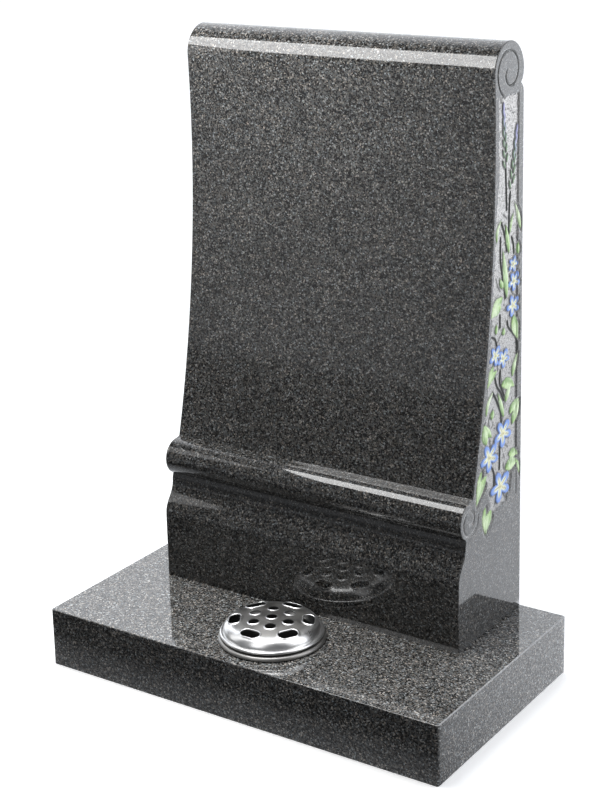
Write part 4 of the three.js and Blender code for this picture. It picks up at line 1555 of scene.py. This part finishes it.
    def build(self, finish: SpunAluminium) -> bpy.types.Object:
        """Builds the lid: the plate's two sides, the openings' walls and the turned rim.

        Args:
            finish: The lid's finish.

        Returns:
            The lid.
        """
        place = np.array([*self.pot.centre, self.pot.base_top + self.pot.flange])
        plan, faces, away = self.plate()
        radius = np.hypot(plan[:, 0], plan[:, 1])
        surface = Surface()

        def polish(r: Array, clear: Array) -> Array:
            """Polish of the metal: full at the shoulder and on the lips."""
            return np.maximum(smoothstep(r, *self.polish_from), fade(clear, *self.polish_to))

        def level(flat: Array, under: float) -> Array:
            """Puts plan points at the height of the lid's upper side, or under it by a thickness."""
            height = self.height(np.hypot(flat[:, 0], flat[:, 1]), under)
            return np.column_stack([flat, height + self.lip(flat)])

        shine = polish(radius, away)[:, None]
        # Painted shade: the plate's under side is darkened, and each opening's wall darkens from the top side
        # down to the under side.
        fresh, dull = np.zeros((len(plan), 1)), np.full((len(plan), 1), self.dull)
        surface.add(level(plan, 0.0) + place, faces, polish=shine, tarnish=fresh)
        surface.add(level(plan, self.wall) + place, faces[:, ::-1], polish=shine, tarnish=dull)
        for opening in self.openings():
            ring = opening.outline(0.0)
            wall = np.stack([level(ring, 0.0), level(ring, self.wall)])
            bright = np.ones((2, len(ring), 1))
            tarnish = bright * np.array([0.0, self.dull])[:, None, None]
            surface.grid(wall + place, False, True, polish=bright, tarnish=tarnish)
        section = self.section()
        points = lathe(section, self.pot.sides) + place
        shine = polish(section[:, 0], np.full(len(section), np.inf))
        # Painted shade: the under side of the shoulder and the skirt are darkened.
        dull = np.where(np.arange(len(section)) < self.under_points, self.dull, 0.0)
        surface.grid(points, True, False, polish=np.broadcast_to(shine, points.shape[:2])[..., None],
                     tarnish=np.broadcast_to(dull, points.shape[:2])[..., None])
        return surface.make(Piece.LID, finish.material("spun_aluminium_lid"), crease=40.0)

    def section(self) -> Array:
        """The lid's section outside its plate, from the under side round to the upper side."""
        (radius, level), _ = self.shoulder()
        past = self.plate_radius - radius
        inner, outer = self.shoulder_radius - self.wall, self.shoulder_radius
        skirt = self.pot.radius - self.pot.wall - self.clearance
        rim = (self.rim_radius - self.roll, 2 * self.roll)
        under = arc((radius, level), inner, math.degrees(math.acos(past / inner)), 0, 10)
        over = arc((radius, level), outer, 0, math.degrees(math.acos(past / outer)), 12)
        return np.vstack([
            under,
            [(skirt - self.wall, self.roll), (skirt - self.wall, -self.drop), (skirt, -self.drop)],
            [(skirt, 0.0), (self.pot.radius, 0.0)],
            arc(rim, self.roll, -90, 90, 14),
            [(radius + outer + 0.3, rim[1] + self.roll), (radius + outer, rim[1] + self.roll + 0.02)],
            over,
        ])


class Light(Enum):
    """Brightness of the studio as a polished surface sees it, in the renderer's radiance."""

    FRONT = 0.12
    BEHIND = 1.95
    FLOOR_NEAR = 0.06
    FLOOR_FAR = 0.5
    FLOOR_BEHIND = 1.75
    FLOOR_BEYOND = 2.8
    FLOOR_LIFT = 0.35
    SOFTBOX = 9.4
    PANEL = 1.5


@dataclass(frozen=True)
class Panel:
    """A soft panel that only polished surfaces see: its name, place, and width and height."""

    name: str
    at: Triple
    size: Place


@dataclass(frozen=True)
class Studio:
    """A pale floor, a bright sweep behind the stone, a dim front, a soft overhead box and panels."""

    floor_half: float = 30.0
    floor_colour: Triple = (0.92, 0.92, 0.92)
    tint: Triple = (0.97, 1.0, 1.05)
    box_at: Triple = (-0.15, -0.21, 1.0)
    box_size: Place = (0.7, 0.46)
    panels: tuple[Panel, ...] = (
        Panel("left_panel", (-1.02, -0.56, 0.6), (0.45, 1.1)),
        Panel("middle_panel", (0.0, -1.05, 0.8), (0.6, 1.5)),
        Panel("right_panel", (0.95, 0.02, 0.8), (0.7, 1.5)),
    )

    @staticmethod
    def close(graph: Graph, kind: str, stone_sees: bpy.types.Node, camera_sees: bpy.types.Node) -> None:
        """Ends a graph with one shader for the stone's light and reflections and one for the camera.

        Args:
            graph: The graph to end.
            kind: The type of its output node.
            stone_sees: Shader that lights the stone and shows in it.
            camera_sees: Shader that the camera sees.
        """
        path = graph.node("ShaderNodeLightPath").outputs["Is Camera Ray"]
        feeds = {0: path, 1: stone_sees.outputs[0], 2: camera_sees.outputs[0]}
        graph.node(kind, {"Surface": graph.node("ShaderNodeMixShader", feeds).outputs[0]})

    def surroundings(self) -> None:
        """Sets the world: dim in front and bright behind, blended by the direction's Y."""
        world = bpy.data.worlds.new("studio")
        bpy.context.scene.world = world
        world.use_nodes = True
        graph = Graph(world.node_tree)
        _, y, _ = graph.axes(graph.node("ShaderNodeTexCoord").outputs["Generated"])
        level = graph.spread(y, -0.05, 0.4, Light.FRONT.value, Light.BEHIND.value)
        room = graph.node("ShaderNodeBackground", {"Color": self.tint, "Strength": level})
        plain = graph.node("ShaderNodeBackground", {"Color": (1.0, 1.0, 1.0)})
        self.close(graph, "ShaderNodeOutputWorld", room, plain)

    def floor(self) -> None:
        """Lays the pale floor; what it gives off to the stone dims towards its front foot."""
        mesh = bpy.data.meshes.new("studio_floor")
        reach = self.floor_half
        mesh.from_pydata([(-reach, -reach, 0), (reach, -reach, 0), (reach, reach, 0), (-reach, reach, 0)], [],
                         [(0, 1, 2, 3)])
        material = bpy.data.materials.new("pale_floor")
        material.use_nodes = True
        graph = Graph(material.node_tree)
        _, y, _ = graph.axes(graph.node("ShaderNodeTexCoord").outputs["Object"])
        front = graph.spread(y, -2.6, -0.3, Light.FLOOR_FAR.value, Light.FLOOR_NEAR.value)
        behind = graph.math("POWER", graph.spread(y, -0.24, 0.4, 0.0, 1.0), 0.6)
        beyond = graph.spread(y, 0.5, 2.2, Light.FLOOR_BEHIND.value, Light.FLOOR_BEYOND.value)
        level = graph.between(behind, front, beyond)
        glow = graph.node("ShaderNodeEmission", {"Color": self.tint, "Strength": level})
        matt = graph.node("ShaderNodeBsdfDiffuse", {"Color": self.floor_colour})
        lift = graph.node("ShaderNodeEmission", {"Strength": Light.FLOOR_LIFT.value})
        both = graph.node("ShaderNodeAddShader", {0: matt.outputs[0], 1: lift.outputs[0]})
        self.close(graph, "ShaderNodeOutputMaterial", glow, both)
        mesh.materials.append(material)
        made = bpy.data.objects.new("studio_floor", mesh)
        bpy.context.scene.collection.objects.link(made)

    def lamp(self, name: str, level: Light, at: Triple, size: Place, turn: Triple) -> bpy.types.Object:
        """Hangs a soft light that the camera doesn't see; its power is radiance * pi * area.

        Args:
            name: The light's name.
            level: Its radiance.
            at: Its place.
            size: Its width and length.
            turn: Its rotation in radians; unturned, it shines down.

        Returns:
            The light.
        """
        lamp = bpy.data.lights.new(name, "AREA")
        lamp.shape = "RECTANGLE"
        lamp.size, lamp.size_y = size
        lamp.energy = level.value * math.pi * size[0] * size[1]
        made = bpy.data.objects.new(name, lamp)
        made.location = at
        made.rotation_euler = turn
        made.visible_camera = False
        bpy.context.scene.collection.objects.link(made)
        return made

    def build(self) -> None:
        """Sets up the whole studio."""
        self.surroundings()
        self.floor()
        self.lamp("softbox", Light.SOFTBOX, self.box_at, self.box_size, (0.0, 0.0, 0.0))
        for panel in self.panels:
            facing = Vector(panel.at).to_track_quat("Z", "Y").to_euler()
            self.lamp(panel.name, Light.PANEL, panel.at, panel.size, tuple(facing)).visible_diffuse = False
        bpy.context.scene.view_settings.view_transform = "Standard"


@dataclass(frozen=True)
class Viewpoint:
    """The photograph's camera: a long lens, turned and tilted, with a shift for its framing."""

    place: Triple = (1.251174, -1.823733, 1.150066)
    turn: float = 0.600565
    tilt: float = 0.266082
    roll: float = -0.025238
    lens: float = 79.74
    shift: float = -0.15

    def build(self) -> None:
        """Makes the camera from its forward, right and up directions."""
        turn, tilt = self.turn, self.tilt
        forward = Vector((-math.sin(turn) * math.cos(tilt), math.cos(turn) * math.cos(tilt), -math.sin(tilt)))
        level = Vector((math.cos(turn), math.sin(turn), 0.0))
        upright = level.cross(forward)
        right = level * math.cos(self.roll) + upright * math.sin(self.roll)
        up = upright * math.cos(self.roll) - level * math.sin(self.roll)
        data = bpy.data.cameras.new("photo_camera")
        data.lens = self.lens
        data.shift_y = self.shift
        made = bpy.data.objects.new("photo_camera", data)
        axes = Matrix((right, up, -forward)).transposed().to_4x4()
        made.matrix_world = Matrix.Translation(self.place) @ axes
        bpy.context.scene.collection.objects.link(made)
        bpy.context.scene.camera = made


def main() -> None:
    """Builds the camera, the studio and the four pieces in order."""
    logging.basicConfig(level=logging.INFO, format="%(message)s")
    Viewpoint().build()
    Studio().build()
    grain, pecked, rings = granite_grain(), pecked_face(), spun_metal()
    base = BaseSlab()
    base.build(PolishedGranite(grain))
    profile = StoneProfile()
    stone = Headstone(profile, FlowerCarving(profile), base)
    # The stone takes a darker copy of the base's granite, a painted shade.
    stone.build(PolishedGranite(grain, lightness=0.41, carved=pecked))
    pot = FlowerPot()
    pot.build(SpunAluminium(rings, pot.centre))
    PiercedLid(pot).build(SpunAluminium(rings, pot.centre))


if __name__ == "__main__":
    main()
